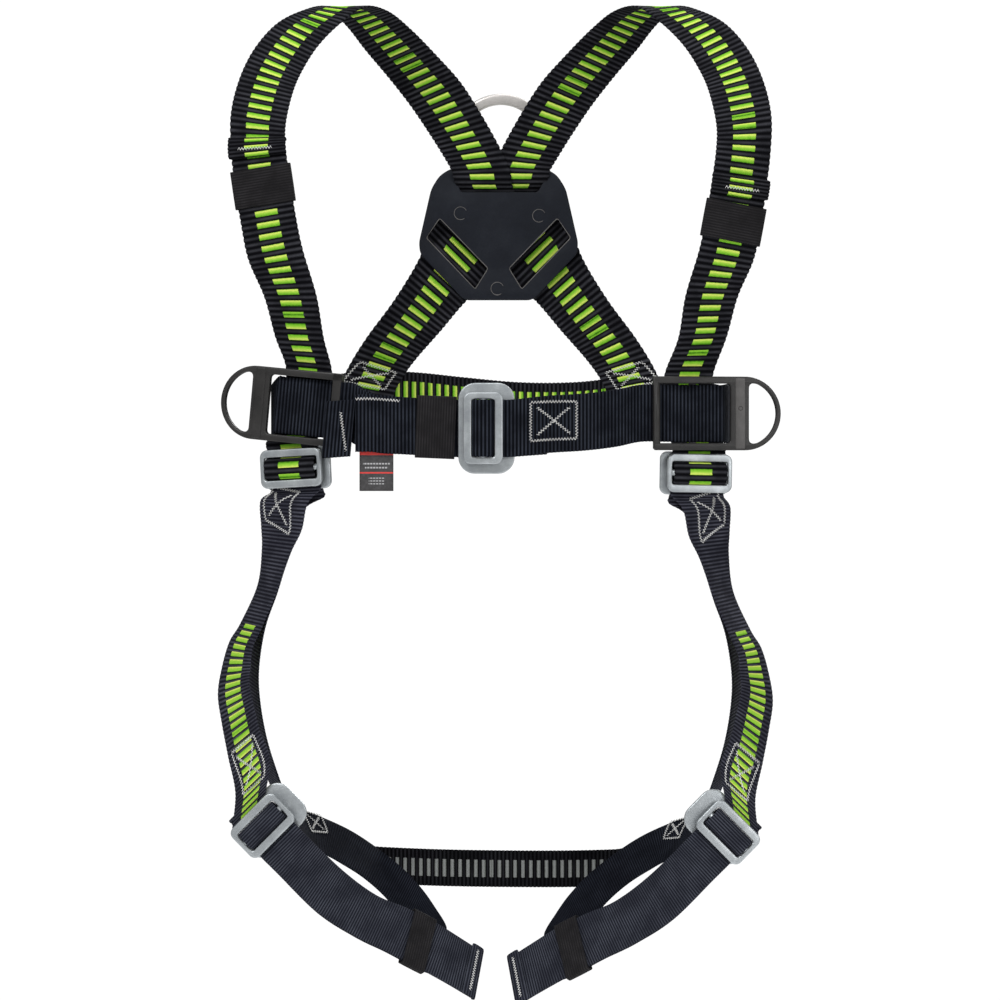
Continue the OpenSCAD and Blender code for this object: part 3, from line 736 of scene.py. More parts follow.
def merge(name, objs):
    """Joins objects into the first and names it."""
    bm = bmesh.new()
    for o in objs:
        bm.from_mesh(o.data)
    bm.to_mesh(objs[0].data)
    bm.free()
    for o in objs[1:]:
        bpy.data.objects.remove(o)
    objs[0].name = name
    return objs[0]


def piece(obj, body, slot, *nodes):
    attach(obj, body)
    if nodes:
        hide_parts(*nodes)


def arc(cx, cy, r, a0, a1, n=10):
    turns = [radians(a0 + (a1 - a0) * i / n) for i in range(n + 1)]
    return [(cx + r * cos(a), cy + r * sin(a)) for a in turns]


def rounded_rect(a, b, r, cx=0, cy=0, n=8):
    """Outline of a rectangle with round corners, anticlockwise."""
    pts = []
    for sx, sy, start in ((1, 1, 0), (-1, 1, 90), (-1, -1, 180), (1, -1, 270)):
        pts += arc(cx + sx * (a / 2 - r), cy + sy * (b / 2 - r), r, start, start + 90, n)
    return pts


# ---------------------------------------------------------------- straps
FINE = 12                            # steps between two rows of a route
FURROW = 0.33                        # depth of the furrows between the ribs, under the flat face
BAR_RELIEF, DIP_RELIEF = 1.25, 0.55  # a ladder's bars and dips, in shares of a rib's relief
SAMPLES_PER_RIB = 6
EDGE_STATIONS = [0.8, 2.2, 5.5]      # distances in from the edge where the mesh has a point
EDGE_HALF_T = 0.3                    # half the thickness of the edge itself


class Strap:
    """A webbing's middle line with the vectors across it and out of its face, by length along it."""

    def __init__(self, route, width=WEB_W):
        self.width = width
        fine = smooth(route, FINE)
        self.p = fine[:, :3]
        self.w = fine[:, 3:] * width / WEB_W
        self.n = faces_of(fine)
        steps = np.linalg.norm(np.diff(self.p, axis=0), axis=1)
        self.s = np.concatenate([[0], np.cumsum(steps)])
        self.length = self.s[-1]
        self.row_s = self.s[::FINE]

    def sample(self, s):
        s = np.atleast_1d(s)
        p, w, n = (np.stack([np.interp(s, self.s, a[:, i]) for i in range(3)], 1)
                   for a in (self.p, self.w, self.n))
        return p, w, n / np.linalg.norm(n, axis=1)[:, None]

    def point(self, s, v, h):
        """v is across in millimetres and h out of the face."""
        p, w, n = self.sample(s)
        across = w / np.linalg.norm(w, axis=1)[:, None]
        return p + across * np.reshape(v, (-1, 1)) + n * np.reshape(h, (-1, 1))

    def locate(self, x, z, low, high):
        """Where along and across the strap a place seen from the front lies, between two of its rows."""
        a, b = low * FINE, high * FINE + 1
        p, w = self.p[a:b], self.w[a:b]
        unit = w / np.linalg.norm(w, axis=1)[:, None]
        flat = unit[:, [0, 2]]
        away = np.array([x, z]) - p[:, [0, 2]]
        v = (away * flat).sum(1) / (flat * flat).sum(1)
        v = np.clip(v, -WEB_W / 2, WEB_W / 2)
        i = np.argmin(np.linalg.norm(away - v[:, None] * flat, axis=1))
        return self.s[a + i], v[i]


def hump(phase):
    return np.sqrt(np.clip(1 - (2 * phase - 1)**2, 0, 1))


def relief(weave, s, v, ladder_on):
    """Height of the woven surface over the middle of the webbing."""
    rib = weave["relief"] * hump(np.mod(s / weave["rib"], 1))
    base = WEB_T / 2 - FURROW
    height = base + rib
    if weave["ladder"]:
        period, share, half = weave["ladder"]
        phase = np.mod(s / period, 1)
        bar = weave["relief"] * BAR_RELIEF * hump(np.clip(phase / share, 0, 1))
        gap = weave["relief"] * DIP_RELIEF * hump(np.clip((phase - share) / (1 - share), 0, 1))
        centre = base + np.where(phase < share, bar, gap)
        height = np.where(ladder_on & (np.abs(v) < half), centre, height)
    return height


def strap_mesh(name, strap, weave, materials, stretch=None):
    """The woven ribbon. The first material and the ladder are for a stretch of it, the last for the rest."""
    count = int(strap.length / weave["rib"] * SAMPLES_PER_RIB)
    s = np.linspace(0, strap.length, count)
    half = strap.width / 2
    centre = weave["ladder"][2] if weave["ladder"] else 10
    right = [0, centre / 2, centre - 0.3, centre + 0.3, half] + [half - e for e in EDGE_STATIONS]
    v = np.array(sorted(set(round(sign * x, 3) for x in right for sign in (-1, 1))))
    low, high = stretch or (0, strap.length)
    on = (s >= low) & (s <= high)
    p, w, n = strap.sample(s)
    size = np.linalg.norm(w, axis=1)
    across = w / size[:, None]
    squeeze = size / strap.width
    ribs = hump(np.mod(s / weave["rib"], 1))
    loops = []
    for side in (1, -1):
        for x in v if side == 1 else v[::-1]:
            edge = half - abs(x)
            height = relief(weave, s, np.full(count, x), on)
            if edge < 0.01:
                height = np.full(count, EDGE_HALF_T)
                reach = np.sign(x) * (half - weave["scallop"] * (1 - ribs))
            else:
                height = height * min(1.0, 0.62 + 0.17 * edge)
                reach = x
            loops.append((p + across * (reach * squeeze)[:, None] + n * (side * height)[:, None], x))
    size_ring = len(loops)
    points = np.stack([a for a, _ in loops], 1).reshape(-1, 3) * MM
    uv = np.stack([np.repeat(s, size_ring), np.tile([x for _, x in loops], count)], 1) * MM
    faces = ring_faces(count, size_ring)
    obj = mesh_object(name, points, faces, materials, uv)
    if len(materials) > 1:
        index_of = np.zeros(len(faces), np.int32)
        ring = np.repeat(on[:-1], size_ring)
        index_of[:len(ring)] = np.where(ring, 0, 1)
        index_of[len(ring):] = 1
        obj.data.polygons.foreach_set("material_index", index_of)
    return outward(obj)


def front_side(strap, s):
    """1 where the strap's face points to the viewer's side, -Y, and otherwise -1."""
    return -1 if strap.sample(s)[2][0][1] > 0 else 1


straps = {
    "shoulder_strap_left": Strap(shoulder_route(LEFT)),
    "shoulder_strap_right": Strap(shoulder_route(RIGHT)),
    "back_waist_strap": Strap(BACK_WAIST),
    "hip_strap_left": Strap(hip_left_route()),
    "belt_left": Strap(belt_left_route()),
    "belt_right": Strap(belt_right_route()),
    "leg_strap_left": Strap(leg_route(LEFT)),
    "leg_strap_right": Strap(leg_route(RIGHT)),
    "thigh_strap_left": Strap(thigh_route(LEFT)),
    "thigh_strap_right": Strap(thigh_route(RIGHT)),
    "sub_pelvic_strap": Strap(PELVIC, PELVIC_W),
}
LEG_LADDER_ROW = 17                  # row of a leg strap up to which the ladder shows

# Weave, materials and slot by the first word of a strap's name
KINDS = {
    "shoulder": (SHOULDER_WEAVE, [shoulder_ladder], "ladder_webbing"),
    "back": (WAIST_WEAVE, [waist_ladder], "ladder_webbing"),
    "hip": (BELT_WEAVE, [belt_black], "plain_webbing"),
    "belt": (BELT_WEAVE, [belt_black], "plain_webbing"),
    "leg": (LEG_WEAVE, [leg_ladder, leg_plain], "ladder_webbing"),
    "thigh": (THIGH_WEAVE, [thigh_black, thigh_painted_shade], "plain_webbing"),
    "sub": (PELVIC_WEAVE, [grey_ladder], "reflective_webbing"),
}

for name, strap in straps.items():
    kind = name.split("_")[0]
    weave, materials, slot = KINDS[kind]
    stretch = None
    if kind == "leg":
        stretch = (0, strap.row_s[LEG_LADDER_ROW])
    elif kind == "thigh":
        # The front of a thigh loop takes the lighter copy, and its rear the copy in painted shade.
        stretch = (strap.row_s[THIGH_FRONT_START], strap.length)
    piece(strap_mesh(name + "_web", strap, weave, materials, stretch), ROOT, slot, name)


# ---------------------------------------------------------------- folded strap ends
# Places along the strap from its end, then heights out of it, in shares of the fold's thickness
FOLD_START = [0.6, -0.9, -1.6, -0.9, 1.4]
FOLD_HEIGHTS = [0.15, 0.35, 0.5, 0.82, 1, 1.02, 0.96, 0.7, 0.35]


def folded_end(name, strap, at_start, weave, material, length, thickness):
    """A strap's end, rolled forward on itself."""
    end = 0 if at_start else strap.length
    inward = 1 if at_start else -1
    side = front_side(strap, end)
    places = FOLD_START + [length * 0.5, length - 1.6, length - 0.1, length - 0.3]
    p, w, n = strap.sample(np.clip([end + inward * x for x in places], 0, strap.length))
    out = strap.sample(end)[0] - strap.sample(end + inward * 3)[0]
    out = out / np.linalg.norm(out)
    rows = []
    for i, (x, h) in enumerate(zip(places, FOLD_HEIGHTS)):
        over = out[0] * max(0, -x)
        rows.append([*(p[i] + over + n[i] * side * h * thickness), *(w[i] * 1.05)])
    fold = Strap(rows)
    piece(strap_mesh(name, fold, weave, [material]), ROOT, "plain_webbing")
    return fold


shoulder_folds = {side: folded_end("tail_fold_" + word, straps["shoulder_strap_" + word], True,
                                   FOLD_WEAVE, fold_ladder, 12.4, 4.4) for side, word in SIDES.items()}
thigh_folds = {side: folded_end("thigh_fold_" + word, straps["thigh_strap_" + word], False,
                                THIGH_WEAVE, thigh_black, 9, 3) for side, word in SIDES.items()}


def belt_tab():
    """The belt's end folded over in front of the left plate's inner bar."""
    f = SIDE_FRAMES[0]
    places = [[5.2, -6.2, -15], [6.3, -6.8, -15.6], [5.2, -7.4, -15.6], [1, -7.2, -15], [-5, -6.4, -14],
              [-12, -5.2, -12.8], [-16, -4.4, -12.2]]
    tab = Strap([row(at(f, p), direction(f, [0, 0, WEB_W])) for p in places])
    piece(strap_mesh("belt_tab", tab, BELT_WEAVE, [belt_black]), ROOT, "plain_webbing")
    return tab


straps["belt_tab"] = belt_tab()


# ---------------------------------------------------------------- stitching
THREAD_R = 0.42
ZIGZAG = 0.9                         # half the width of a zigzag line
PITCH = 2.2                          # length of one zigzag stitch
SEAM_H = 1.15                        # height of a thread over the middle of the webbing
FOLD_SEAM_H = 1.0
CROSS = 0.72                         # size of the cross in a sewn box

# Strap, corners or ends as seen from the front, and the strap's rows that they lie between
BOXES = [
    ("shoulder_strap_right", [(-129, 32), (-115, 49), (-86, 39), (-95, 26)], 57, 60),
    ("shoulder_strap_left", [(129, 32), (115, 49), (86, 39), (95, 26)], 58, 61),
    ("belt_right", [(23, 12), (59, 13), (59, -16), (24, -18)], 13, 16),
    ("leg_strap_left", [(-181, -50), (-158, -58), (-166, -91), (-185, -80)], 16, 23),
    ("leg_strap_right", [(148, -63), (171, -55), (175.5, -84), (157, -97)], 16, 23),
    ("leg_strap_left", [(-194, -249), (-212, -264), (-204, -296), (-187, -282)], 9, 14),
    ("leg_strap_right", [(184, -255), (204, -271), (194, -302), (177, -287)], 9, 14),
    ("thigh_strap_left", [(-161, -315), (-146, -319), (-141, -333), (-153, -331)], 0, 2),
    ("thigh_strap_right", [(152, -320), (137, -324), (132, -338), (144, -336)], 0, 2)]
LINES = [("belt_left", [(-115, 15), (-79, 13.5)], 27, 30), ("belt_tab", [(-125, 5), (-121, -26)], 3, 6)]


def make_stitching():
    all_points, all_faces = [], []

    def stitch(strap, a, b, height, side):
        """A zigzag line of thread from a to b, both (along, across), on one face of a strap."""
        a, b = np.array(a, float), np.array(b, float)
        length = np.linalg.norm(b - a)
        count = max(3, int(length / PITCH * 2))
        t = np.linspace(0, 1, count)[:, None]
        along = (b - a) / length
        wobble = (np.arange(count) % 2 * 2 - 1)[:, None] * ZIGZAG
        places = a + (b - a) * t + np.array([-along[1], along[0]]) * wobble
        path = strap.point(places[:, 0], places[:, 1], np.full(count, side * height))
        points, faces = tube(path, THREAD_R)
        start = len(all_points)
        all_points.extend(points * MM)
        all_faces.extend(tuple(start + i for i in f) for f in faces)

    for side in SIDES:
        fold = shoulder_folds[side]
        s = fold.length * 0.62
        stitch(fold, (s, -15), (s + 0.8, 13), FOLD_SEAM_H, front_side(fold, s))
        fold = thigh_folds[side]
        s = fold.length * 0.6
        stitch(fold, (s, -19), (s, 19), FOLD_SEAM_H, front_side(fold, s))
    for name, places, low, high in BOXES + LINES:
        strap = straps[name]
        spots = [strap.locate(x, z, low, high) for x, z in places]
        lines = [spots]
        if len(spots) == 4:
            corners = np.array(spots, float)
            middle = corners.mean(0)
            inner = middle + (corners - middle) * CROSS
            lines = [(spots[i], spots[(i + 1) % 4]) for i in range(4)]
            lines += [(inner[0], inner[2]), (inner[1], inner[3])]
        for a, b in lines:
            stitch(strap, a, b, SEAM_H, front_side(strap, spots[0][0]))
    obj = mesh_object("white_stitching", all_points, all_faces, white_thread)
    piece(outward(obj), ROOT, "plain_webbing")


make_stitching()


# ---------------------------------------------------------------- keepers
KEEPER_WALL = 1.2
KEEPER_DEPTH = 2 * WEB_T + GAP + KEEPER_ROOM
ELASTIC_RIB_H = 0.16
MOUTH_ROLL = 0.35                    # how far a mouth is drawn in
MIDDLE_BOW = 0.25                    # how much fuller the middle is


def keeper(name, rows, i, length, tail_side):
    """An elastic sleeve at a row of its strap: a flat tube with fine ribs and slightly rolled mouths."""
    ahead = rows[min(i + 1, len(rows) - 1)][:3] - rows[i - 1][:3]
    t = ahead / np.linalg.norm(ahead)
    out = -faces_of(rows)[i]
    across = np.cross(t, out)
    middle = rows[i][:3] + out * tail_side * LAYER / 2

    def outline(grow):
        a, b = (WEB_W + 1.6) / 2 + grow, KEEPER_DEPTH / 2 + grow
        r = 0.9 + grow * 0.9
        pts = []
        for sx, sy, start, end in ((1, 1, 0, (0, b)), (-1, 1, 90, (-a, 0)), (-1, -1, 180, (0, -b)),
                                   (1, -1, 270, (a, 0))):
            pts += arc(sx * (a - r), sy * (b - r), r, start, start + 90, 4) + [end]
        return pts

    inner, outer = outline(0.0), outline(KEEPER_WALL)
    lip = [((a[0] + b[0]) / 2, (a[1] + b[1]) / 2) for a, b in zip(inner, outer)]
    xs = np.arange(-length / 2, length / 2 + 1e-6, ELASTIC_RIB / 4)
    rings = [(xs[0] + 0.3, lip)]
    for x in xs:
        near_end = min(1.0, (length / 2 - abs(x)) / 0.8)
        bulge = ELASTIC_RIB_H * (1 - abs(2 * ((x / ELASTIC_RIB) % 1) - 1)) - MOUTH_ROLL * (1 - near_end)**2
        bow = MIDDLE_BOW * cos(pi * x / length)
        rings.append((x, [(y, z + np.sign(z) * (bulge + bow)) for y, z in outer]))
    rings += [(xs[-1] - 0.3, lip), (xs[-1] - 1.0, inner), (xs[0] + 1.0, inner)]
    points = [(middle + t * x + across * y + out * z) * MM for x, ring in rings for y, z in ring]
    uv = [(x * MM, y * MM) for x, ring in rings for y, z in ring]
    size = len(inner)
    last = (len(rings) - 1) * size
    faces = ring_faces(len(rings), size, caps=False)
    faces += [(last + j, last + (j + 1) % size, (j + 1) % size, j) for j in range(size)]
    obj = mesh_object(name + "_elastic", points, faces, elastic, uv)
    piece(outward(obj), name, "elastic", name)


keeper("shoulder_keeper_left", shoulder_main(LEFT), 7, KEEPER_L, 1)
keeper("shoulder_keeper_right", shoulder_main(RIGHT), 6, KEEPER_L, -1)
keeper("belt_keeper", np.array(BELT_FRONT_LEFT, float), 2, BELT_KEEPER_L, -1)
for side, word in SIDES.items():
    loop = shifted(for_side(THIGH_LOOP, side), leg_shift(side))
    keeper("thigh_keeper_" + word, loop, 10, THIGH_KEEPER_L, side)


# ---------------------------------------------------------------- plates and buckles
def rounded_polygon(corners, radius, n=6):
    """Outline of a polygon with its corners rounded off."""
    pts = []
    count = len(corners)
    for i in range(count):
        p = np.array(corners[i], float)
        a = np.array(corners[i - 1], float) - p
        b = np.array(corners[(i + 1) % count], float) - p
        r = min(radius, np.linalg.norm(a) * 0.4, np.linalg.norm(b) * 0.4)
        a, b = a / np.linalg.norm(a) * r, b / np.linalg.norm(b) * r
        pts += [tuple(p + a * (1 - t)**2 + b * t**2) for t in (j / n for j in range(n + 1))]
    return pts


def area(points):
    p = np.array(points)
    return 0.5 * np.sum(p[:, 0] * np.roll(p[:, 1], -1) - np.roll(p[:, 0], -1) * p[:, 1])


def plate_mesh(name, outer, holes, thickness, bevel, place, material):
    """A flat plate with holes and rounded edges. place maps (x, y, height) to the part, in millimetres."""
    curve = bpy.data.curves.new(name, "CURVE")
    curve.dimensions = "2D"
    curve.fill_mode = "BOTH"
    curve.extrude = (thickness / 2 - bevel) * MM
    curve.bevel_depth = bevel * MM
    curve.bevel_resolution = 3
    curve.offset = -bevel * MM
    for k, loop in enumerate([outer] + holes):
        if (area(loop) > 0) != (k == 0):
            loop = loop[::-1]
        spline = curve.splines.new("POLY")
        spline.points.add(len(loop) - 1)
        for point, (x, y) in zip(spline.points, loop):
            point.co = (x * MM, y * MM, 0, 1)
        spline.use_cyclic_u = True
    holder = bpy.data.objects.new(name + "_outline", curve)
    bpy.context.scene.collection.objects.link(holder)
    bpy.context.view_layer.update()
    made = bpy.data.meshes.new_from_object(holder.evaluated_get(bpy.context.evaluated_depsgraph_get()))
    points = [place(v.co.x / MM, v.co.y / MM, v.co.z / MM) * MM for v in made.vertices]
    faces = [tuple(f.vertices) for f in made.polygons]
    bpy.data.objects.remove(holder)
    return weld(mesh_object(name, points, faces, material, smooth_shaded=False))


def in_frame(f):
    """Maps a place (along, across, forward) of a frame to the part."""
    return lambda s, w, h: at(f, [s, -h, w])


def rod(name, f, radius, half, material):
    """A round bar along a frame's w axis with softened ends."""
    path = [at(f, [0, 0, x]) for x in (-half, -half + 0.4, half - 0.4, half)]
    return outward(tube_object(name, path, radius, 24, material))


FRAME_BEVEL = 1.1
BELT_OPENING = (18, 45.2)
BELT_REAR_OPENING = (18, 46.6)
HIP_OPENING_W = 44.6
LEG_OPENING_W = LEG_BAR_W + 1.6


def buckle(node, body, f, size, opening, offset=(0, 0), corner=FRAME_R, bar=True):
    """A frame of a buckle: sizes along and across it, and how far its outline lies off the opening."""
    outer = rounded_rect(*size, corner, *offset)
    hole = rounded_rect(*opening, 1.6)
    parts = [plate_mesh(node + "_plate", outer, [hole], FRAME_T, FRAME_BEVEL, in_frame(f), zinc)]
    if bar:
        parts.append(rod(node + "_rod", f, BAR_D / 2, opening[1] / 2 + 0.5, zinc))
    piece(merge(node + "_steel", parts), body, "zinc_steel", node)


buckle("belt_buckle_inner", "belt_buckle", BELT_FRAME, (31, 56), BELT_OPENING)
buckle("belt_buckle_outer", ROOT, behind(BELT_FRAME), (44, 71), BELT_REAR_OPENING, (2.6, 0), 13)
for i, word in enumerate(SIDES.values()):
    hip, leg = "hip_adjuster_" + word, "leg_buckle_" + word
    buckle(hip + "_front", hip, HIP_FRAMES[i], (30.5, 52), (18, HIP_OPENING_W))
    buckle(hip + "_rear", ROOT, behind(HIP_FRAMES[i]), (34, 55), (2 * HIP_INNER_EDGE, HIP_OPENING_W),
           (0, 2.4), bar=False)
    buckle(leg + "_inner", leg, LEG_FRAMES[i], (31, 48), (18, LEG_OPENING_W))
    buckle(leg + "_outer", ROOT, behind(LEG_FRAMES[i]), (40, 58), (2 * LEG_INNER_EDGE, LEG_OPENING_W),
           (0, 5.5), 12, bar=False)


# ---------------------------------------------------------------- side plates
WINDOW_SEEN_H = 46.8                 # window height, close round the belt
BAND_X, BAND_W, BAND_T = 67, 8, 1.6  # the raised band between the window and the D
BRIDGE_X = 30                        # the right plate's bridge behind the belt
FRONT_BAR_W = 7.0                    # the left plate's bar in front of the belt, down to the tab
FRONT_BAR_ENDS = (6.5, 28.6)
FRONT_BAR_H = 5.45
FRONT_BAR_FOOT = 5.4
FILLET = 17                          # degrees of the D's arc that its corner fillets take up


def d_opening(centre, r):
    """Outline of the D: an arc and a straight side with generous fillets between them."""
    reach = np.degrees(np.arccos((D_START - centre) / r))
    pts = arc(centre, 0, r, -reach + FILLET, reach - FILLET, 30)
    z = r * sin(radians(reach))
    turn = radians(reach - FILLET)
    for sign in (1, -1):
        start = np.array([centre + r * cos(turn), sign * r * sin(turn)])
        corner = np.array([D_START, sign * z])
        end = np.array([D_START, sign * (z - 5.5)])
        curve = [tuple(start * (1 - t)**2 + corner * 2 * t * (1 - t) + end * t**2)
                 for t in np.linspace(0, 1, 9)[1:]]
        pts += curve if sign == 1 else curve[::-1]
    return pts


def side_plate(node, body, f, bridged):
    d_centre = PLATE_REACH - PLATE_H / 2
    bar_r = SIDE_BAR_D / 2
    h = PLATE_H / 2
    front = PLATE_T / 2
    place = in_frame(f)

    def slab(part, outline, thickness, bevel, height, material=plate_coating):
        return plate_mesh(node + part, outline, [], thickness, bevel,
                          lambda s, w, z: place(s, w, z + height), material)

    def ejector_mark(x, y, height, r):
        ring = [place(x + r * cos(q), y + r * sin(q), height) for q in np.linspace(0, 2 * pi, 33)]
        return tube_object(node + "_mark", ring, 0.22, 8, plate_coating)

    outer = [(-bar_r, -h + 1.5), (-bar_r + 1.5, -h)] + arc(d_centre, 0, h, -90, 90, 40)
    outer += [(-bar_r + 1.5, h), (-bar_r, h - 1.5)]
    window = rounded_rect(WINDOW_L + 3, WINDOW_SEEN_H, 3, bar_r + WINDOW_L / 2 - 1.5)
    plate = plate_mesh(node + "_plate", outer, [window, d_opening(d_centre, h - D_WALL)], PLATE_T, 1.1,
                       place, plate_coating)
    band = slab("_band", rounded_rect(BAND_W, PLATE_H - 2.5, 1.2, BAND_X), BAND_T, 0.7, front - 0.1,
                plate_band if bridged else plate_coating)
    parts = [plate, rod(node + "_rod", f, bar_r, WINDOW_SEEN_H / 2 + 1, plate_coating),
             ejector_mark(BAND_X, 4, front + 0.75, 1.6)]
    if bridged:
        parts += [ejector_mark(20, v * (PLATE_H + WINDOW_SEEN_H) / 4, front, 1.9) for v in (-1, 1)]
        parts.append(slab("_bridge", rounded_rect(6, PLATE_H - 1.5, 1, BRIDGE_X), 1.5, 0.4, -5.95))
        parts += [slab("_leg", rounded_rect(6, 4.2, 1, BRIDGE_X, v * 26.3), 5.4, 0.3, -3.7) for v in (-1, 1)]
    else:
        low, high = FRONT_BAR_ENDS
        bar = rounded_rect(FRONT_BAR_W, high - low, 1.0, 0.3, (low + high) / 2)
        foot = rounded_rect(FRONT_BAR_W, FRONT_BAR_FOOT, 1.0, 0.3, high - FRONT_BAR_FOOT / 2)
        parts.append(slab("_front_bar", bar, 1.1, 0.35, FRONT_BAR_H))
        parts.append(slab("_front_foot", foot, 3.7, 0.35, FRONT_BAR_H - 1.3))
    piece(merge(node + "_metal", parts), body, "side_plate_metal", node)
    piece(band, body, "side_plate_metal")


side_plate("side_plate_left", "side_d_left", SIDE_FRAMES[0], False)
side_plate("side_plate_right", "side_d_right", SIDE_FRAMES[1], True)


# ---------------------------------------------------------------- dorsal plate and D ring
PLATE_HALF = [[28, 99], [64, 137], [65, 146], [55, 190], [48, 201], [38, 207]]
SLANT_SLOT = [[48, 166], [8.5, 125], [19, 108], [59, 150]]
TOP_SLOT = [[-32.5, 187.2], [30, 187.2], [38, 201.2], [-39, 201.2]]
EJECTORS = [(-31, 170), (33, 168), (-1, 108.5)]
EJECTOR_R = 5.2
EJECTOR_TURN = (0.4, 5.4)            # the marks are open circles


def flipped(points):
    return [(-x, y) for x, y in points[::-1]]


def dorsal_plate():
    outer = rounded_polygon(PLATE_HALF + flipped(PLATE_HALF), 5)
    holes = [rounded_polygon(SLANT_SLOT, 2), rounded_polygon(flipped(SLANT_SLOT), 2),
             rounded_polygon([(x - DORSAL_X, y) for x, y in TOP_SLOT], 2)]
    front = DORSAL_T / 2

    def place(x, z, h):
        return np.array([x + DORSAL_X, DORSAL_Y + front - h, z])

    plate = plate_mesh("dorsal_plate_moulded", outer, holes, DORSAL_T, 0.55, place, moulded_slate)
    marks = []
    for x, z in EJECTORS:
        ring = [place(x + EJECTOR_R * cos(q), z + EJECTOR_R * sin(q), front)
                for q in np.linspace(*EJECTOR_TURN, 40)]
        marks.append(tube_object("ejector_mark", ring, 0.3, 8, moulded_mark_and_edge_highlight))
    # A light, slightly raised line round each slanted slot: painted highlight along the slot's edge.
    for hole in holes[:2]:
        lip = [place(x, z, front - 0.15) for x, z in hole]
        marks.append(tube_object("slot_edge_highlight", lip + lip[:1], 0.42, 8, moulded_mark_and_edge_highlight))
    piece(plate, ROOT, "dorsal_plastic", "dorsal_plate")
    piece(merge("dorsal_plate_marks_and_highlights", marks), ROOT, "dorsal_plastic")


def dorsal_ring():
    """The D is one rounded rectangular stock swept up, over and down, with a round bar below."""
    mid = RING_R - RING_W / 2
    top = RING_TOP - RING_R - RING_AXIS[2]
    line = [((mid, z), (1, 0)) for z in np.linspace(0, top, 6)[:-1]]
    line += [((mid * cos(a), top + mid * sin(a)), (cos(a), sin(a))) for a in np.linspace(0, pi, 49)]
    line += [((-mid, z), (-1, 0)) for z in np.linspace(top, 0, 6)[1:]]
    profile = rounded_rect(RING_W, RING_T, 2.2, n=4)
    points = [np.array([x + ox * a, b, z + oz * a]) + RING_AXIS
              for (x, z), (ox, oz) in line for a, b in profile]
    hoop = mesh_object("ring_arc", np.array(points) * MM, ring_faces(len(line), len(profile)), ring_alloy)
    ends = [np.array([x, 0, 0]) + RING_AXIS
            for x in (0.6 - RING_R, 1.4 - RING_R, RING_R - 1.4, RING_R - 0.6)]
    bar = tube_object("ring_bar", ends, RING_T / 2, 32, ring_alloy)
    made = merge("dorsal_ring_alloy", [outward(hoop), outward(bar)])
    piece(weld(made, 50), "dorsal_d", "ring_alloy", "dorsal_d_ring")


dorsal_plate()
dorsal_ring()


# ---------------------------------------------------------------- label
LABEL_CURL = 1.6 * MM                # of its lower end
LABEL_HALF_T = 0.3 * MM
LABEL_MARGIN = 4.5 * MM              # from its upper edge to the print


def label():
    """A cloth tag with a slight curl towards its lower end."""
    low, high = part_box("label_tag")
    cols, rows_n = 14, 20
    xs = np.linspace(low.x + 0.0002, high.x - 0.0002, cols)
    zs = np.linspace(high.z, low.z, rows_n)
    points, uv = [], []
    middle = (low.x + high.x) / 2
    y = (low.y + high.y) / 2
    for side in (-1, 1):
        for z in zs:
            for x in xs:
                drop = high.z - z
                curl = LABEL_CURL * (drop / 0.036)**2 * (((x - middle) / 0.0135)**2 - 0.4)
                points.append((x, y + curl + side * LABEL_HALF_T, z))
                uv.append((drop - LABEL_MARGIN, x - middle))
    faces = []
    for k in (0, 1):
        for i in range(rows_n - 1):
            for j in range(cols - 1):
                a = k * rows_n * cols + i * cols + j
                faces.append((a, a + 1, a + cols + 1, a + cols))
    n = rows_n * cols
    border = list(range(cols)) + [i * cols + cols - 1 for i in range(1, rows_n)]
    border += [n - 1 - j for j in range(1, cols)] + [i * cols for i in range(rows_n - 2, 0, -1)]
    faces += [(a, b, b + n, a + n) for a, b in zip(border, border[1:] + border[:1])]
    obj = mesh_object("label_cloth", points, faces, label_print, uv)
    piece(outward(obj), ROOT, "label", "label_tag")


label()


# ---------------------------------------------------------------- floor, light and camera
FLOOR_Z = -0.56
FLOOR_RINGS = (0.02, 0.4, 0.8, 1.1)
DOME_R = 14.0
WHITE = rgb(1.0, 1.0, 1.0)
# Place, aim, size and power of each lamp
LAMPS = {
    "key": ((-1.5, -2.6, 2.4), (0, 0, 0), 0.9, 92),
    "fill": ((2.2, -2.8, 0.6), (0, 0, -0.1), 1.4, 36),
    "top": ((0.3, 0.2, 2.6), (0, 0, 0), 1.2, 30),
    "back": ((1.4, 2.9, 1.5), (0, 0, -0.05), 1.4, 62),
}


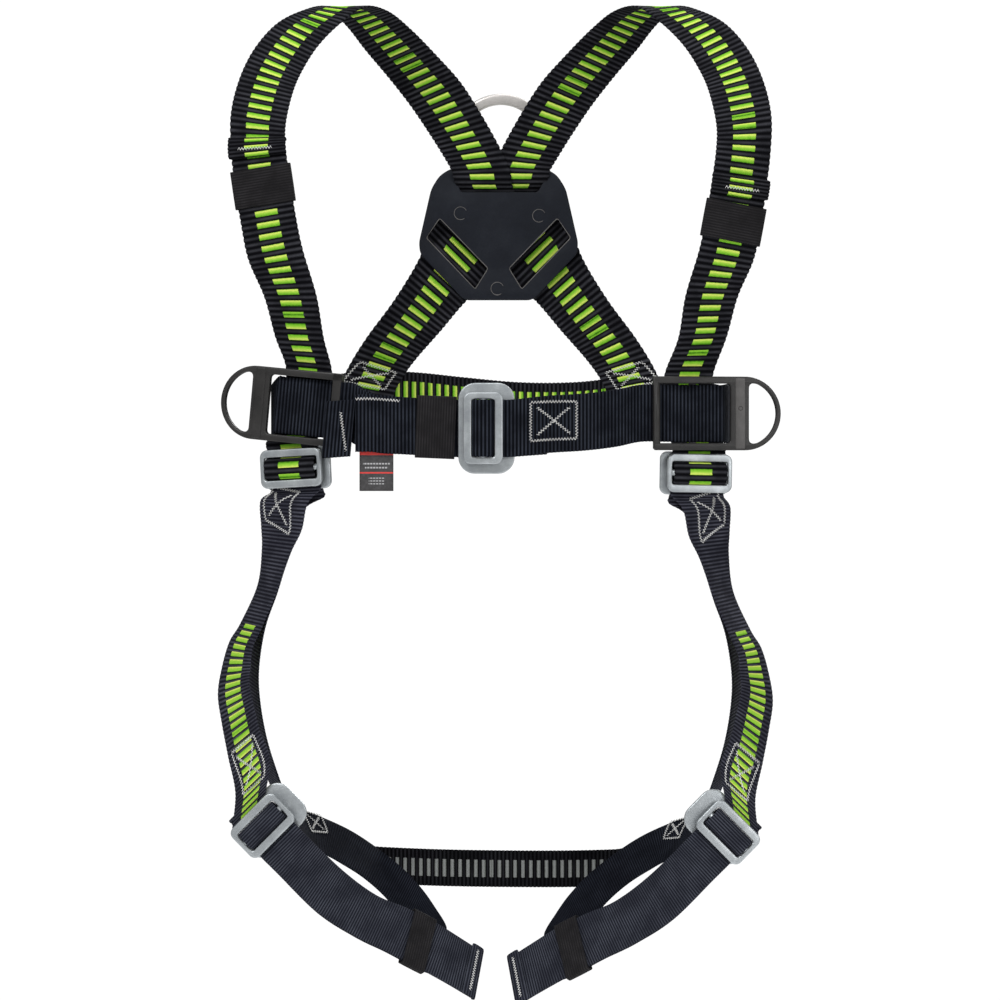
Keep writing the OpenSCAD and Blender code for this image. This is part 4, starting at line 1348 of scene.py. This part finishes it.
def studio():
    """A pale floor disc, and a white dome that only the camera sees and that gives a plain ground."""
    rim = np.linspace(0, 2 * pi, 96, endpoint=False)
    n = Surface("studio_paper")
    n.give({"Base Color": n.mix(n.noise(3, 3), rgb(0.90, 0.90, 0.90), rgb(0.93, 0.93, 0.93)),
            "Roughness": 0.9, "Emission Color": WHITE, "Emission Strength": 0.1})
    points = [(r * cos(a), r * sin(a), FLOOR_Z) for r in FLOOR_RINGS for a in rim]
    faces = [face[::-1] for face in ring_faces(len(FLOOR_RINGS), len(rim), caps=False)]
    faces.append(tuple(range(len(rim))))
    mesh_object("studio_floor", points, faces, n.material)

    n = Surface("studio_dome")
    n.give({"Base Color": rgb(0, 0, 0), "Specular IOR Level": 0.0, "Emission Strength": 1.05,
            "Emission Color": n.mix(n.noise(0.5, 1), WHITE, rgb(0.995, 0.995, 0.995))})
    turns = np.linspace(0.02, pi - 0.02, 25)
    points = [(DOME_R * sin(b) * cos(a), DOME_R * sin(b) * sin(a), DOME_R * cos(b))
              for b in turns for a in rim]
    dome = mesh_object("studio_dome", points, ring_faces(len(turns), len(rim)), n.material)
    for ray in ("diffuse", "glossy", "transmission", "volume_scatter", "shadow"):
        setattr(dome, "visible_" + ray, False)

    world = bpy.data.worlds.new("studio_world")
    world.use_nodes = True
    sky = world.node_tree.nodes["Background"]
    sky.inputs["Color"].default_value = WHITE
    sky.inputs["Strength"].default_value = 0.48
    bpy.context.scene.world = world

    for name, (place, aim, size, power) in LAMPS.items():
        data = bpy.data.lights.new(name, "AREA")
        data.shape = "RECTANGLE"
        data.size = data.size_y = size
        data.energy = power
        lamp = bpy.data.objects.new(name, data)
        bpy.context.scene.collection.objects.link(lamp)
        lamp.location = place
        lamp.rotation_euler = (Vector(aim) - Vector(place)).to_track_quat("-Z", "Y").to_euler()


def camera():
    data = bpy.data.cameras.new("camera")
    data.sensor_width = 36
    data.lens = 225
    data.clip_end = 60
    obj = bpy.data.objects.new("camera", data)
    bpy.context.scene.collection.objects.link(obj)
    obj.location = (-0.0008, -5.0, -0.064)
    obj.rotation_euler = (pi / 2, 0, 0)
    bpy.context.scene.camera = obj
    bpy.context.scene.view_settings.view_transform = "Standard"


studio()
camera()
